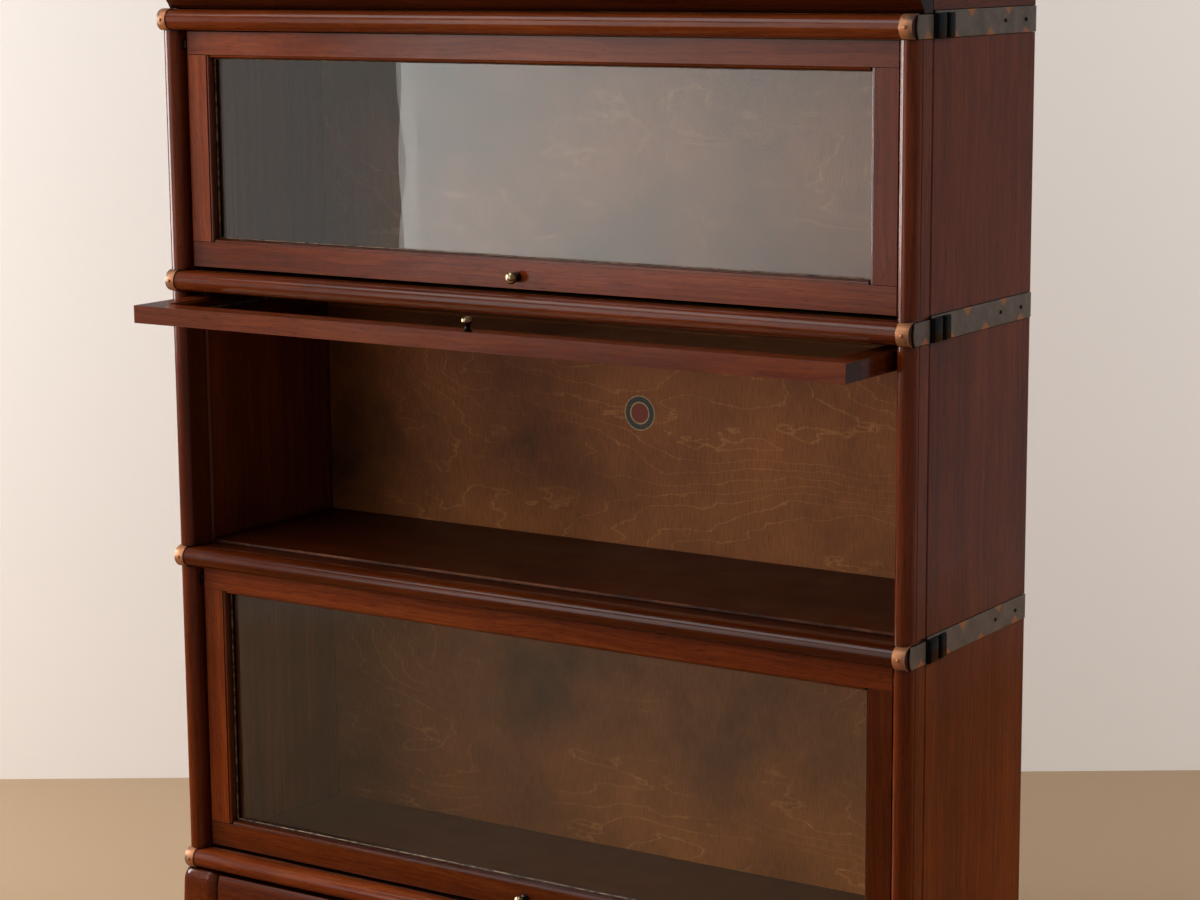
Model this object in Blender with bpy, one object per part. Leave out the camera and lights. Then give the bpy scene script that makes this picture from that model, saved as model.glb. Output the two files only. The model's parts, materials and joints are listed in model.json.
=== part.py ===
"""Sectional barrister bookcase: three glazed stacking sections under a crown, on a drawer base.

Metres, +Z up, front towards -Y. The origin is the bottom centre of the whole object's box,
with the middle door open as it stands at rest.
"""

import math

import bmesh
import bpy
from mathutils import Vector

MM = 0.001

# Overall case. Depths are counted from the front edge of the side bands.
CASE_WIDTH = 864 * MM
CASE_DEPTH = 240 * MM
SECTION_HEIGHTS = {"section1": 268 * MM, "section2": 293 * MM, "section3": 332 * MM}
BASE_HEIGHT = 140 * MM
CROWN_HEIGHT = 73 * MM

# Clearance between pieces that touch, and between pieces that move past each other.
GAP = 0.3 * MM
DOOR_SIDE_CLEARANCE = 0.7 * MM
DOOR_TOP_CLEARANCE = 1.5 * MM
DOOR_SILL_CLEARANCE = 0.5 * MM
DOOR_BACK_CLEARANCE = 1.0 * MM
SWEEP_CLEARANCE = 1.5 * MM

# Side boards: a round nose in front, a flat strip, a V groove, then the panel.
SIDE_THICKNESS = 19 * MM
NOSE_SETBACK = -4 * MM
QUIRK_SIZE = 0.8 * MM
QUIRK_SETBACK = 9.4 * MM
GROOVE_WIDTH = 3.5 * MM
GROOVE_DEPTH = 1.4 * MM
GROOVE_SETBACK = 29.3 * MM
WALL_SHOULDER = 3.8 * MM
BACK_THICKNESS = 6 * MM
BACK_INSET = 2 * MM
BACK_REBATE = 9.8 * MM

# Front rail and shelf.
RAIL_HEIGHT = 21 * MM
RAIL_OVERHANG = 10 * MM
RAIL_BACK = 9 * MM
SHELF_STEP = 3.5 * MM
SHELF_RECESS = 8 * MM

# Side bands let into the bottom edge of each side.
BAND_THICKNESS = 1.5 * MM
BAND_INLET = 0.9 * MM
BAND_RISE = 3 * MM
BAND_FRONT_BOW = 3.5 * MM

# Doors.
DOOR_SETBACK = 10 * MM
DOOR_THICKNESS = 18 * MM
STILE_WIDTH = 24.5 * MM
TOP_RAIL_WIDTH = 23.5 * MM
BOTTOM_RAIL_WIDTH = 26 * MM
STICKING_WIDTH = 4 * MM
STICKING_FILLET = 1.2 * MM
STICKING_DEPTH = 7.5 * MM
GLASS_SETBACK = 10 * MM
GLASS_THICKNESS = 3 * MM
GLASS_REBATE = 6 * MM

# Hinge rod and slides. The rod runs through the door's top rail.
PIVOT_DROP = 15 * MM
ROD_RADIUS = 2.5 * MM
ROD_CLEARANCE = 0.3 * MM
SHOE_LENGTH = 20 * MM
SHOE_HEIGHT = 7.4 * MM
SLOT_DEPTH = 6 * MM
OPEN_SECTION = "section2"
OPEN_RECESS = 150 * MM

# Knobs.
KNOB_PROJECTION = 14 * MM
KNOB_HEAD_RADIUS = 6 * MM
KNOB_NECK_RADIUS = 2.8 * MM
KNOB_ROSE_RADIUS = 4.8 * MM
KNOB_TENON_RADIUS = 2 * MM
KNOB_TENON_LENGTH = 8 * MM
KNOB_ABOVE_EDGE = 11.5 * MM

# Crown.
CORNICE_SETBACK = 12 * MM
CORNICE_REACH = 24 * MM
CORNICE_BACK = 28 * MM
CROWN_TOP_THICKNESS = 18 * MM
CROWN_TOP_FRONT_OVERHANG = 6 * MM
CROWN_TOP_SIDE_OVERHANG = 8 * MM

# Base with its drawer.
BASE_SWELL = 8 * MM
BASE_SHOULDER = 14 * MM
BASE_POST_WIDTH = 42 * MM
BASE_POST_DEPTH = 24 * MM
POST_CORNER_RADIUS = 12 * MM
POST_INNER_ROUNDING = 4 * MM
DRAWER_SWELL = 5 * MM
DRAWER_SIDE_GAP = 3 * MM
DRAWER_TOP_GAP = 3 * MM
DRAWER_FRONT_THICKNESS = 20 * MM
DRAWER_FRONT_BOTTOM = 25 * MM
DRAWER_BOX_HEADROOM = 18 * MM
DRAWER_SIDE_THICKNESS = 12 * MM
DRAWER_SIDE_INSET = 6 * MM
DRAWER_BOTTOM_THICKNESS = 5 * MM
DRAWER_BOTTOM_INSET = 4 * MM
DRAWER_BACK_SPACE = 25 * MM
RUNNER_TOP = 42 * MM
RUNNER_THICKNESS = 12 * MM
RUNNER_WIDTH = 34 * MM
RUNNER_SETBACK = 21 * MM
PLINTH_BOTTOM = 8 * MM
PLINTH_TOP = 22 * MM
PLINTH_SETBACK = 2 * MM

ARC_STEPS = 10
KNOB_STEPS = 28

# Derived sizes.
HALF_WIDTH = CASE_WIDTH / 2
RECESS_X = HALF_WIDTH - SIDE_THICKNESS
WALL_X = RECESS_X - WALL_SHOULDER
DOOR_HALF_WIDTH = WALL_X - DOOR_SIDE_CLEARANCE
SHOULDER_SETBACK = DOOR_SETBACK + DOOR_THICKNESS + DOOR_BACK_CLEARANCE
BACK_FRONT = CASE_DEPTH - BACK_INSET - BACK_THICKNESS
BAND_TOP = RAIL_HEIGHT + BAND_RISE
PIVOT_SETBACK = DOOR_SETBACK + DOOR_THICKNESS / 2
ABOVE_PIVOT = PIVOT_DROP - DOOR_TOP_CLEARANCE
BELOW_PIVOT = {
    name: height - RAIL_HEIGHT - PIVOT_DROP - SHELF_STEP - DOOR_SILL_CLEARANCE
    for name, height in SECTION_HEIGHTS.items()
}
OPEN_REACH = BELOW_PIVOT[OPEN_SECTION] - OPEN_RECESS - PIVOT_SETBACK
FRONT_Y = -(CASE_DEPTH - OPEN_REACH) / 2
SWEEP_RADIUS = math.hypot(ABOVE_PIVOT, DOOR_THICKNESS / 2)
SLOT_BACK = BACK_FRONT - SWEEP_CLEARANCE - SWEEP_RADIUS + SHOE_LENGTH / 2 + GAP


def clear_scene():
    for obj in list(bpy.data.objects):
        bpy.data.objects.remove(obj, do_unlink=True)


def make_material(name, color, roughness, metallic=0.0, alpha=1.0):
    material = bpy.data.materials.new(name)
    material.use_nodes = True
    shader = material.node_tree.nodes["Principled BSDF"]
    shader.inputs["Base Color"].default_value = (*color, 1.0)
    shader.inputs["Roughness"].default_value = roughness
    shader.inputs["Metallic"].default_value = metallic
    shader.inputs["Alpha"].default_value = alpha
    return material


def finish_for(name):
    """A fresh material for one piece: colour, roughness, metallic and alpha of what it is made of."""
    if name.endswith("glass"):
        return make_material(name, (0.75, 0.78, 0.74), 0.03, alpha=0.35)
    if "band" in name:
        return make_material(name, (0.06, 0.05, 0.04), 0.45, metallic=0.8)
    if name.endswith("knob"):
        return make_material(name, (0.35, 0.22, 0.09), 0.35, metallic=1.0)
    if name.endswith("hinge_rod"):
        return make_material(name, (0.32, 0.31, 0.30), 0.4, metallic=1.0)
    if name.endswith("back_panel") or name.startswith("drawer_bottom"):
        return make_material(name, (0.11, 0.05, 0.02), 0.5)
    return make_material(name, (0.15, 0.035, 0.015), 0.28)


def add_object(name, mesh, parent=None, location=(0, 0, 0), smooth_angle=None):
    obj = bpy.data.objects.new(name, mesh)
    bpy.context.scene.collection.objects.link(obj)
    obj.location = location
    obj.parent = parent
    mesh.materials.append(finish_for(name))
    if smooth_angle:
        mesh.shade_smooth()
        mesh.set_sharp_from_angle(angle=smooth_angle)
    return obj


def prism_mesh(name, outline, axis, low, high):
    """Extrudes a closed outline. Along X it holds (y, z) pairs, along Z it holds (x, y) pairs."""
    bm = bmesh.new()
    rings = []
    for level in (low, high):
        points = [(level, a, b) if axis == "X" else (a, b, level) for a, b in outline]
        rings.append([bm.verts.new(point) for point in points])
    bm.faces.new(rings[0])
    bm.faces.new(rings[1])
    for i in range(len(outline)):
        j = (i + 1) % len(outline)
        bm.faces.new((rings[0][i], rings[0][j], rings[1][j], rings[1][i]))
    bmesh.ops.recalc_face_normals(bm, faces=bm.faces)
    mesh = bpy.data.meshes.new(name)
    bm.to_mesh(mesh)
    bm.free()
    return mesh


def loft_mesh(name, rings):
    """Joins stacked rings of points, each with the same count, and caps both ends."""
    bm = bmesh.new()
    loops = [[bm.verts.new(point) for point in ring] for ring in rings]
    bm.faces.new(loops[0])
    bm.faces.new(loops[-1])
    for lower, upper in zip(loops, loops[1:]):
        for i in range(len(lower)):
            j = (i + 1) % len(lower)
            bm.faces.new((lower[i], lower[j], upper[j], upper[i]))
    bmesh.ops.recalc_face_normals(bm, faces=bm.faces)
    mesh = bpy.data.meshes.new(name)
    bm.to_mesh(mesh)
    bm.free()
    return mesh


def box_mesh(name, low, high):
    outline = [(low[0], low[1]), (high[0], low[1]), (high[0], high[1]), (low[0], high[1])]
    return prism_mesh(name, outline, "Z", low[2], high[2])


def rod_mesh(name, radius, low_x, high_x, center=(0.0, 0.0), steps=16):
    outline = arc(center[0], center[1], radius, 0, 360, steps)[:-1]
    return prism_mesh(name, outline, "X", low_x, high_x)


def arc(center_a, center_b, radius, start, end, steps=ARC_STEPS):
    """Points on an arc, angles in degrees."""
    angles = [math.radians(start + (end - start) * i / steps) for i in range(steps + 1)]
    return [(center_a + radius * math.cos(t), center_b + radius * math.sin(t)) for t in angles]


def mirror_outline(outline, sign):
    return [(sign * x, y) for x, y in outline]


def helper(name, mesh, parent=None, location=(0, 0, 0)):
    """A cutter or an added block, left out of the built object."""
    obj = bpy.data.objects.new(name, mesh)
    bpy.context.scene.collection.objects.link(obj)
    obj.location = location
    obj.parent = parent
    obj.hide_render = True
    obj.display_type = "WIRE"
    return obj


def combine(obj, tool, operation="DIFFERENCE"):
    modifier = obj.modifiers.new(tool.name, "BOOLEAN")
    modifier.operation = operation
    modifier.solver = "EXACT"
    modifier.object = tool


def add_empty(name, location, parent=None, rotation_x=0.0):
    empty = bpy.data.objects.new(name, None)
    bpy.context.scene.collection.objects.link(empty)
    empty.location = location
    empty.rotation_euler = (rotation_x, 0, 0)
    empty.parent = parent
    return empty


def side_outline():
    """Plan of the right side board, seen from above."""
    radius = SIDE_THICKNESS / 2
    nose = arc(HALF_WIDTH - radius, FRONT_Y + NOSE_SETBACK + radius, radius, 180, 360)
    quirk = FRONT_Y + QUIRK_SETBACK
    groove = FRONT_Y + GROOVE_SETBACK
    back = FRONT_Y + CASE_DEPTH
    rebate = FRONT_Y + BACK_FRONT - GAP
    shoulder = FRONT_Y + SHOULDER_SETBACK
    outer = [
        (HALF_WIDTH, quirk - QUIRK_SIZE),
        (HALF_WIDTH - QUIRK_SIZE, quirk),
        (HALF_WIDTH, quirk + QUIRK_SIZE),
        (HALF_WIDTH, groove - GROOVE_WIDTH / 2),
        (HALF_WIDTH - GROOVE_DEPTH, groove),
        (HALF_WIDTH, groove + GROOVE_WIDTH / 2),
        (HALF_WIDTH, back),
    ]
    inner = [
        (WALL_X + BACK_REBATE, back),
        (WALL_X + BACK_REBATE, rebate),
        (WALL_X, rebate),
        (WALL_X, shoulder),
        (RECESS_X, shoulder),
    ]
    return nose + outer + inner


def add_side(section, hand, sign, bottom, height):
    name = f"{section}_side_{hand}"
    outline = mirror_outline(side_outline(), sign)
    side = add_object(name, prism_mesh(name, outline, "Z", bottom, bottom + height), smooth_angle=0.6)
    inner, outer = sorted((sign * (WALL_X - 10 * MM), sign * (HALF_WIDTH + 10 * MM)))
    rail_space = box_mesh(
        f"{name}_rail_space",
        (inner, FRONT_Y - 20 * MM, bottom - 10 * MM),
        (outer, FRONT_Y + RAIL_BACK + GAP, bottom + RAIL_HEIGHT + GAP),
    )
    combine(side, helper(f"{name}_rail_space", rail_space))
    face, beyond = sorted((sign * (HALF_WIDTH - BAND_INLET), sign * (HALF_WIDTH + 10 * MM)))
    inlet = box_mesh(
        f"{name}_band_inlet",
        (face, FRONT_Y - 20 * MM, bottom - 10 * MM),
        (beyond, FRONT_Y + CASE_DEPTH + 10 * MM, bottom + BAND_TOP + GAP),
    )
    combine(side, helper(f"{name}_band_inlet", inlet))
    near, far = sorted((sign * (WALL_X - 10 * MM), sign * (WALL_X + SLOT_DEPTH)))
    pivot = bottom + height - PIVOT_DROP
    slot = box_mesh(
        f"{name}_slot",
        (near, FRONT_Y + PIVOT_SETBACK - SHOE_LENGTH / 2 - GAP, pivot - SHOE_HEIGHT / 2 - GAP),
        (far, FRONT_Y + SLOT_BACK, pivot + SHOE_HEIGHT / 2 + GAP),
    )
    combine(side, helper(f"{name}_slot", slot))
    return side


def add_rail(name, bottom):
    """Bullnose rail across the full front."""
    radius = RAIL_HEIGHT / 2
    nose = arc(FRONT_Y - RAIL_OVERHANG + radius, bottom + radius, radius, 90, 270)
    back = FRONT_Y + RAIL_BACK
    outline = nose + [(back, bottom), (back, bottom + RAIL_HEIGHT)]
    end = HALF_WIDTH - BAND_INLET
    return add_object(name, prism_mesh(name, outline, "X", -end, end), smooth_angle=0.6)


def add_band(unit, hand, sign, bottom):
    """Side band with a lower front part whose end bows forward behind the rail's nose."""
    name = f"{unit}_band_{hand}"
    half = RAIL_HEIGHT / 2
    bow_radius = (half**2 + BAND_FRONT_BOW**2) / (2 * BAND_FRONT_BOW)
    spread = math.degrees(math.asin(half / bow_radius))
    center = FRONT_Y - BAND_FRONT_BOW + bow_radius
    front = arc(center, bottom + half, bow_radius, 180 - spread, 180 + spread, 6)
    step = FRONT_Y + GROOVE_SETBACK + GROOVE_WIDTH / 2
    back = FRONT_Y + CASE_DEPTH
    outline = front + [
        (back, bottom),
        (back, bottom + BAND_TOP),
        (step, bottom + BAND_TOP),
        (step, bottom + RAIL_HEIGHT),
    ]
    inner = HALF_WIDTH - BAND_INLET + GAP
    low, high = sorted((sign * inner, sign * (inner + BAND_THICKNESS)))
    return add_object(name, prism_mesh(name, outline, "X", low, high))


def add_shelf(section, bottom):
    """Shelf between the sides, with a raised step that the closed door stands in front of."""
    name = f"{section}_shelf"
    front = FRONT_Y + RAIL_BACK + GAP
    step = FRONT_Y + SHOULDER_SETBACK
    back = FRONT_Y + BACK_FRONT - GAP
    sill = bottom + RAIL_HEIGHT
    outline = [
        (front, bottom + SHELF_RECESS),
        (back, bottom + SHELF_RECESS),
        (back, sill + SHELF_STEP),
        (step, sill + SHELF_STEP),
        (step, sill),
        (front, sill),
    ]
    end = WALL_X - GAP
    return add_object(name, prism_mesh(name, outline, "X", -end, end))


def add_back_panel(section, bottom, height):
    name = f"{section}_back_panel"
    end = WALL_X + BACK_REBATE - GAP
    front = FRONT_Y + BACK_FRONT
    low = (-end, front, bottom + GAP)
    high = (end, front + BACK_THICKNESS, bottom + height - GAP)
    return add_object(name, box_mesh(name, low, high))


def add_hinge_rod(section, slide):
    """Steel rod with a sliding shoe on each end. It carries the door and keeps it level."""
    name = f"{section}_hinge_rod"
    shoe_inner = WALL_X + GAP
    shoe_outer = WALL_X + SLOT_DEPTH - GAP
    rod_end = (shoe_inner + shoe_outer) / 2
    rod = add_object(name, rod_mesh(name, ROD_RADIUS, -rod_end, rod_end), parent=slide, smooth_angle=0.6)
    for hand, sign in (("left", -1), ("right", 1)):
        near, far = sorted((sign * shoe_inner, sign * shoe_outer))
        shoe = box_mesh(
            f"{name}_shoe_{hand}",
            (near, -SHOE_LENGTH / 2, -SHOE_HEIGHT / 2),
            (far, SHOE_LENGTH / 2, SHOE_HEIGHT / 2),
        )
        combine(rod, helper(f"{name}_shoe_{hand}", shoe, parent=slide), "UNION")
    return rod


def sticking_outline(width):
    """Section of a frame member: (distance from its outer edge, depth from its face)."""
    fillet = STICKING_FILLET
    start = width + fillet
    run = STICKING_WIDTH - fillet
    drop = STICKING_DEPTH - fillet
    angles = [math.radians(90 * i / 6) for i in range(7)]
    ovolo = [(start + run * math.sin(t), fillet + drop * (1 - math.cos(t))) for t in angles]
    return [(0, 0), (width, 0), (width, fillet)] + ovolo + [
        (width + STICKING_WIDTH, DOOR_THICKNESS),
        (0, DOOR_THICKNESS),
    ]


def door_rail(name, hinge, outer_z, width, towards):
    """Full-width rail. outer_z is its outer edge below the pivot, towards is +1 or -1 in Z."""
    face = -DOOR_THICKNESS / 2
    outline = [(face + depth, outer_z + towards * d) for d, depth in sticking_outline(width)]
    mesh = prism_mesh(name, outline, "X", -DOOR_HALF_WIDTH, DOOR_HALF_WIDTH)
    rail = add_object(name, mesh, parent=hinge, smooth_angle=0.6)
    edge = outer_z + towards * width
    tip = outer_z + towards * (width + 20 * MM)
    butt_x = DOOR_HALF_WIDTH - STILE_WIDTH - STICKING_WIDTH - GAP
    for hand, sign in (("left", -1), ("right", 1)):
        low_x, high_x = sorted((sign * butt_x, sign * (DOOR_HALF_WIDTH + 10 * MM)))
        low_z, high_z = sorted((edge, tip))
        corner = box_mesh(f"{name}_corner_{hand}", (low_x, face - 10 * MM, low_z), (high_x, 30 * MM, high_z))
        combine(rail, helper(f"{name}_corner_{hand}", corner, parent=hinge))
    rebate_x = DOOR_HALF_WIDTH - STILE_WIDTH - STICKING_WIDTH + GLASS_REBATE
    low_z, high_z = sorted((edge + towards * (STICKING_WIDTH - GLASS_REBATE), tip))
    rebate = box_mesh(
        f"{name}_rebate", (-rebate_x, face + GLASS_SETBACK, low_z), (rebate_x, 30 * MM, high_z)
    )
    combine(rail, helper(f"{name}_rebate", rebate, parent=hinge))
    return rail


def door_stile(name, hinge, sign, low_z, high_z):
    """Stile between the rails."""
    face = -DOOR_THICKNESS / 2
    outline = [
        (sign * (DOOR_HALF_WIDTH - d), face + depth) for d, depth in sticking_outline(STILE_WIDTH)
    ]
    stile = add_object(name, prism_mesh(name, outline, "Z", low_z, high_z), parent=hinge, smooth_angle=0.6)
    rebate_x = DOOR_HALF_WIDTH - STILE_WIDTH - STICKING_WIDTH + GLASS_REBATE
    low_x, high_x = sorted((sign * rebate_x, sign * (rebate_x - 20 * MM)))
    rebate = box_mesh(
        f"{name}_rebate",
        (low_x, face + GLASS_SETBACK, low_z - 10 * MM),
        (high_x, 30 * MM, high_z + 10 * MM),
    )
    combine(stile, helper(f"{name}_rebate", rebate, parent=hinge))
    return stile


def knob_mesh(name):
    """Turned knob along -Y, standing on the plane y = 0, with a tenon behind it."""
    head = KNOB_HEAD_RADIUS
    crown = KNOB_PROJECTION
    profile = [
        (KNOB_TENON_RADIUS, -KNOB_TENON_LENGTH),
        (KNOB_TENON_RADIUS, GAP),
        (KNOB_ROSE_RADIUS, GAP),
        (KNOB_ROSE_RADIUS, 1.4 * MM),
        (KNOB_NECK_RADIUS + 0.9 * MM, 2.6 * MM),
        (KNOB_NECK_RADIUS, 4.4 * MM),
        (KNOB_NECK_RADIUS + 0.3 * MM, 5.8 * MM),
    ]
    depth = crown - 6.4 * MM
    for i in range(1, 9):
        t = math.radians(-60 + 150 * i / 9)
        profile.append((head * math.cos(t), 6.4 * MM + depth * (math.sin(t) + 0.87) / 1.87))
    bm = bmesh.new()
    rings = []
    for radius, out in profile:
        circle = arc(0, 0, radius, 0, 360, KNOB_STEPS)[:-1]
        rings.append([bm.verts.new((x, -out, z)) for x, z in circle])
    start = bm.verts.new((0, KNOB_TENON_LENGTH, 0))
    tip = bm.verts.new((0, -crown, 0))
    for i in range(KNOB_STEPS):
        j = (i + 1) % KNOB_STEPS
        bm.faces.new((start, rings[0][i], rings[0][j]))
        bm.faces.new((tip, rings[-1][i], rings[-1][j]))
        for lower, upper in zip(rings, rings[1:]):
            bm.faces.new((lower[i], lower[j], upper[j], upper[i]))
    bmesh.ops.recalc_face_normals(bm, faces=bm.faces)
    mesh = bpy.data.meshes.new(name)
    bm.to_mesh(mesh)
    bm.free()
    return mesh


def add_knob(name, parent, location, host):
    """A knob and the hole that takes its tenon."""
    knob = add_object(name, knob_mesh(name), parent=parent, location=location, smooth_angle=0.6)
    radius = KNOB_TENON_RADIUS + GAP
    circle = arc(0, 0, radius, 0, 360, 16)[:-1]
    rings = [[(x, y, z) for x, z in circle] for y in (-5 * MM, KNOB_TENON_LENGTH + GAP)]
    hole = helper(f"{name}_hole", loft_mesh(f"{name}_hole", rings), parent=parent, location=location)
    combine(host, hole)
    return knob


def add_door(section, hinge):
    """Glazed door, modelled hanging straight down from its pivot."""
    top = ABOVE_PIVOT
    bottom = -BELOW_PIVOT[section]
    prefix = f"{section}_door"
    top_rail = door_rail(f"{prefix}_top_rail", hinge, top, TOP_RAIL_WIDTH, -1)
    bore = rod_mesh(f"{prefix}_bore", ROD_RADIUS + ROD_CLEARANCE, -HALF_WIDTH, HALF_WIDTH)
    combine(top_rail, helper(f"{prefix}_bore", bore, parent=hinge))
    bottom_rail = door_rail(f"{prefix}_bottom_rail", hinge, bottom, BOTTOM_RAIL_WIDTH, 1)
    for hand, sign in (("left", -1), ("right", 1)):
        door_stile(
            f"{prefix}_stile_{hand}",
            hinge,
            sign,
            bottom + BOTTOM_RAIL_WIDTH + GAP,
            top - TOP_RAIL_WIDTH - GAP,
        )
    inset = STICKING_WIDTH - GLASS_REBATE + GAP
    glass_x = DOOR_HALF_WIDTH - STILE_WIDTH - inset
    front = -DOOR_THICKNESS / 2 + GLASS_SETBACK + GAP
    low = (-glass_x, front, bottom + BOTTOM_RAIL_WIDTH + inset)
    high = (glass_x, front + GLASS_THICKNESS, top - TOP_RAIL_WIDTH - inset)
    add_object(f"{prefix}_glass", box_mesh(f"{prefix}_glass", low, high), parent=hinge)
    place = (0, -DOOR_THICKNESS / 2, bottom + KNOB_ABOVE_EDGE)
    add_knob(f"{prefix}_knob", hinge, place, bottom_rail)


def add_section(section, bottom):
    height = SECTION_HEIGHTS[section]
    for hand, sign in (("left", -1), ("right", 1)):
        add_side(section, hand, sign, bottom, height - GAP)
        add_band(section, hand, sign, bottom)
    add_rail(f"{section}_front_rail", bottom)
    add_shelf(section, bottom)
    add_back_panel(section, bottom, height)
    is_open = section == OPEN_SECTION
    recess = OPEN_RECESS if is_open else 0.0
    pivot = (0, FRONT_Y + PIVOT_SETBACK + recess, bottom + height - PIVOT_DROP)
    slide = add_empty(f"{section}_slide_axis", pivot)
    hinge = add_empty(f"{section}_hinge_axis", (0, 0, 0), slide, -math.pi / 2 if is_open else 0.0)
    add_hinge_rod(section, slide)
    add_door(section, hinge)


def cornice_outline(bottom):
    """Section of the cornice: an S curve from the rail up to the top board."""
    foot = Vector((FRONT_Y + CORNICE_SETBACK, bottom + RAIL_HEIGHT + GAP))
    head = Vector((FRONT_Y - CORNICE_REACH, bottom + CROWN_HEIGHT))
    rise = head.y - foot.y
    pull_out = Vector((-0.18 * rise, 0.36 * rise))
    pull_down = Vector((0, -0.45 * rise))
    points = []
    for i in range(13):
        t = i / 12
        a, b = foot + pull_out, head + pull_down
        p = foot * (1 - t) ** 3 + a * 3 * t * (1 - t) ** 2 + b * 3 * t * t * (1 - t) + head * t**3
        points.append((p.x, p.y))
    back = FRONT_Y + CORNICE_BACK
    return points + [(back, bottom + CROWN_HEIGHT), (back, bottom + RAIL_HEIGHT + GAP)]


def add_crown(bottom):
    add_rail("crown_front_rail", bottom)
    end = HALF_WIDTH
    mesh = prism_mesh("crown_cornice", cornice_outline(bottom), "X", -end, end)
    add_object("crown_cornice", mesh, smooth_angle=0.6)
    back = FRONT_Y + CASE_DEPTH
    panel_front = FRONT_Y + BACK_FRONT - GAP
    top = bottom + CROWN_HEIGHT
    for hand, sign in (("left", -1), ("right", 1)):
        name = f"crown_side_{hand}"
        outline = [
            (FRONT_Y + RAIL_BACK + GAP, bottom),
            (back, bottom),
            (back, top),
            (FRONT_Y + CORNICE_BACK + GAP, top),
            (FRONT_Y + CORNICE_BACK + GAP, bottom + RAIL_HEIGHT),
            (FRONT_Y + RAIL_BACK + GAP, bottom + RAIL_HEIGHT),
        ]
        low, high = sorted((sign * RECESS_X, sign * HALF_WIDTH))
        side = add_object(name, prism_mesh(name, outline, "X", low, high))
        face, beyond = sorted((sign * (HALF_WIDTH - BAND_INLET), sign * (HALF_WIDTH + 10 * MM)))
        inlet = box_mesh(
            f"{name}_band_inlet",
            (face, FRONT_Y - 20 * MM, bottom - 10 * MM),
            (beyond, back + 10 * MM, bottom + BAND_TOP + GAP),
        )
        combine(side, helper(f"{name}_band_inlet", inlet))
        near, far = sorted((sign * (RECESS_X - 10 * MM), sign * (RECESS_X + 6 * MM)))
        rebate = box_mesh(
            f"{name}_rebate", (near, panel_front, bottom - 10 * MM), (far, back + 10 * MM, top + 10 * MM)
        )
        combine(side, helper(f"{name}_rebate", rebate))
        add_band("crown", hand, sign, bottom)
    panel_end = RECESS_X + 6 * MM - GAP
    low = (-panel_end, panel_front + GAP, bottom + GAP)
    high = (panel_end, panel_front + GAP + BACK_THICKNESS, top)
    add_object("crown_back_panel", box_mesh("crown_back_panel", low, high))
    add_crown_top(top + GAP, back)


def add_crown_top(bottom, back):
    """Top board with a half-round edge on its front, between square ends."""
    radius = CROWN_TOP_THICKNESS / 2
    front = FRONT_Y - CORNICE_REACH - CROWN_TOP_FRONT_OVERHANG
    nose = arc(front + radius, bottom + radius, radius, 90, 270, 8)
    outline = nose + [(back, bottom), (back, bottom + CROWN_TOP_THICKNESS)]
    end = HALF_WIDTH + CROWN_TOP_SIDE_OVERHANG
    add_object("crown_top", prism_mesh("crown_top", outline, "X", -end, end), smooth_angle=0.6)


def base_shoulder(height):
    """The round shoulder on top of the base: 0 at its very top, 1 from the shoulder's foot down."""
    below_top = min((BASE_HEIGHT - GAP - height) / BASE_SHOULDER, 1.0)
    return math.sqrt(1 - (1 - below_top) ** 2)


def base_swell(height):
    """How far the base stands out at a height: the shoulder, then a slow cushion."""
    cushion = math.sin(math.pi * min((BASE_HEIGHT - GAP - height) / BASE_HEIGHT, 1.0))
    return BASE_SWELL * (0.75 * base_shoulder(height) + 0.25 * cushion)


def base_levels(low):
    """Heights at which the base's outline is drawn, closer together on the shoulder."""
    top = BASE_HEIGHT - GAP
    shoulder = [top - BASE_SHOULDER * (1 - math.cos(math.radians(90 * i / 5))) for i in range(6)]
    body = [shoulder[-1] - (shoulder[-1] - low) * i / 4 for i in range(1, 5)]
    return shoulder + body


def base_side_ring(sign, height):
    """Plan of a base side with its front post at one height."""
    swell = base_swell(height)
    radius = POST_CORNER_RADIUS
    front = FRONT_Y + NOSE_SETBACK - swell
    outer = HALF_WIDTH + swell
    inner = HALF_WIDTH - BASE_POST_WIDTH + POST_INNER_ROUNDING * (1 - base_shoulder(height))
    outline = arc(inner + radius, front + radius, radius, 180, 270, 4)
    outline += arc(outer - radius, front + radius, radius, 270, 360, 4)
    outline += [
        (outer, FRONT_Y + CASE_DEPTH),
        (RECESS_X, FRONT_Y + CASE_DEPTH),
        (RECESS_X, FRONT_Y + NOSE_SETBACK + BASE_POST_DEPTH),
        (inner, FRONT_Y + NOSE_SETBACK + BASE_POST_DEPTH),
    ]
    return [(x, y, height) for x, y in mirror_outline(outline, sign)]


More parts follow.
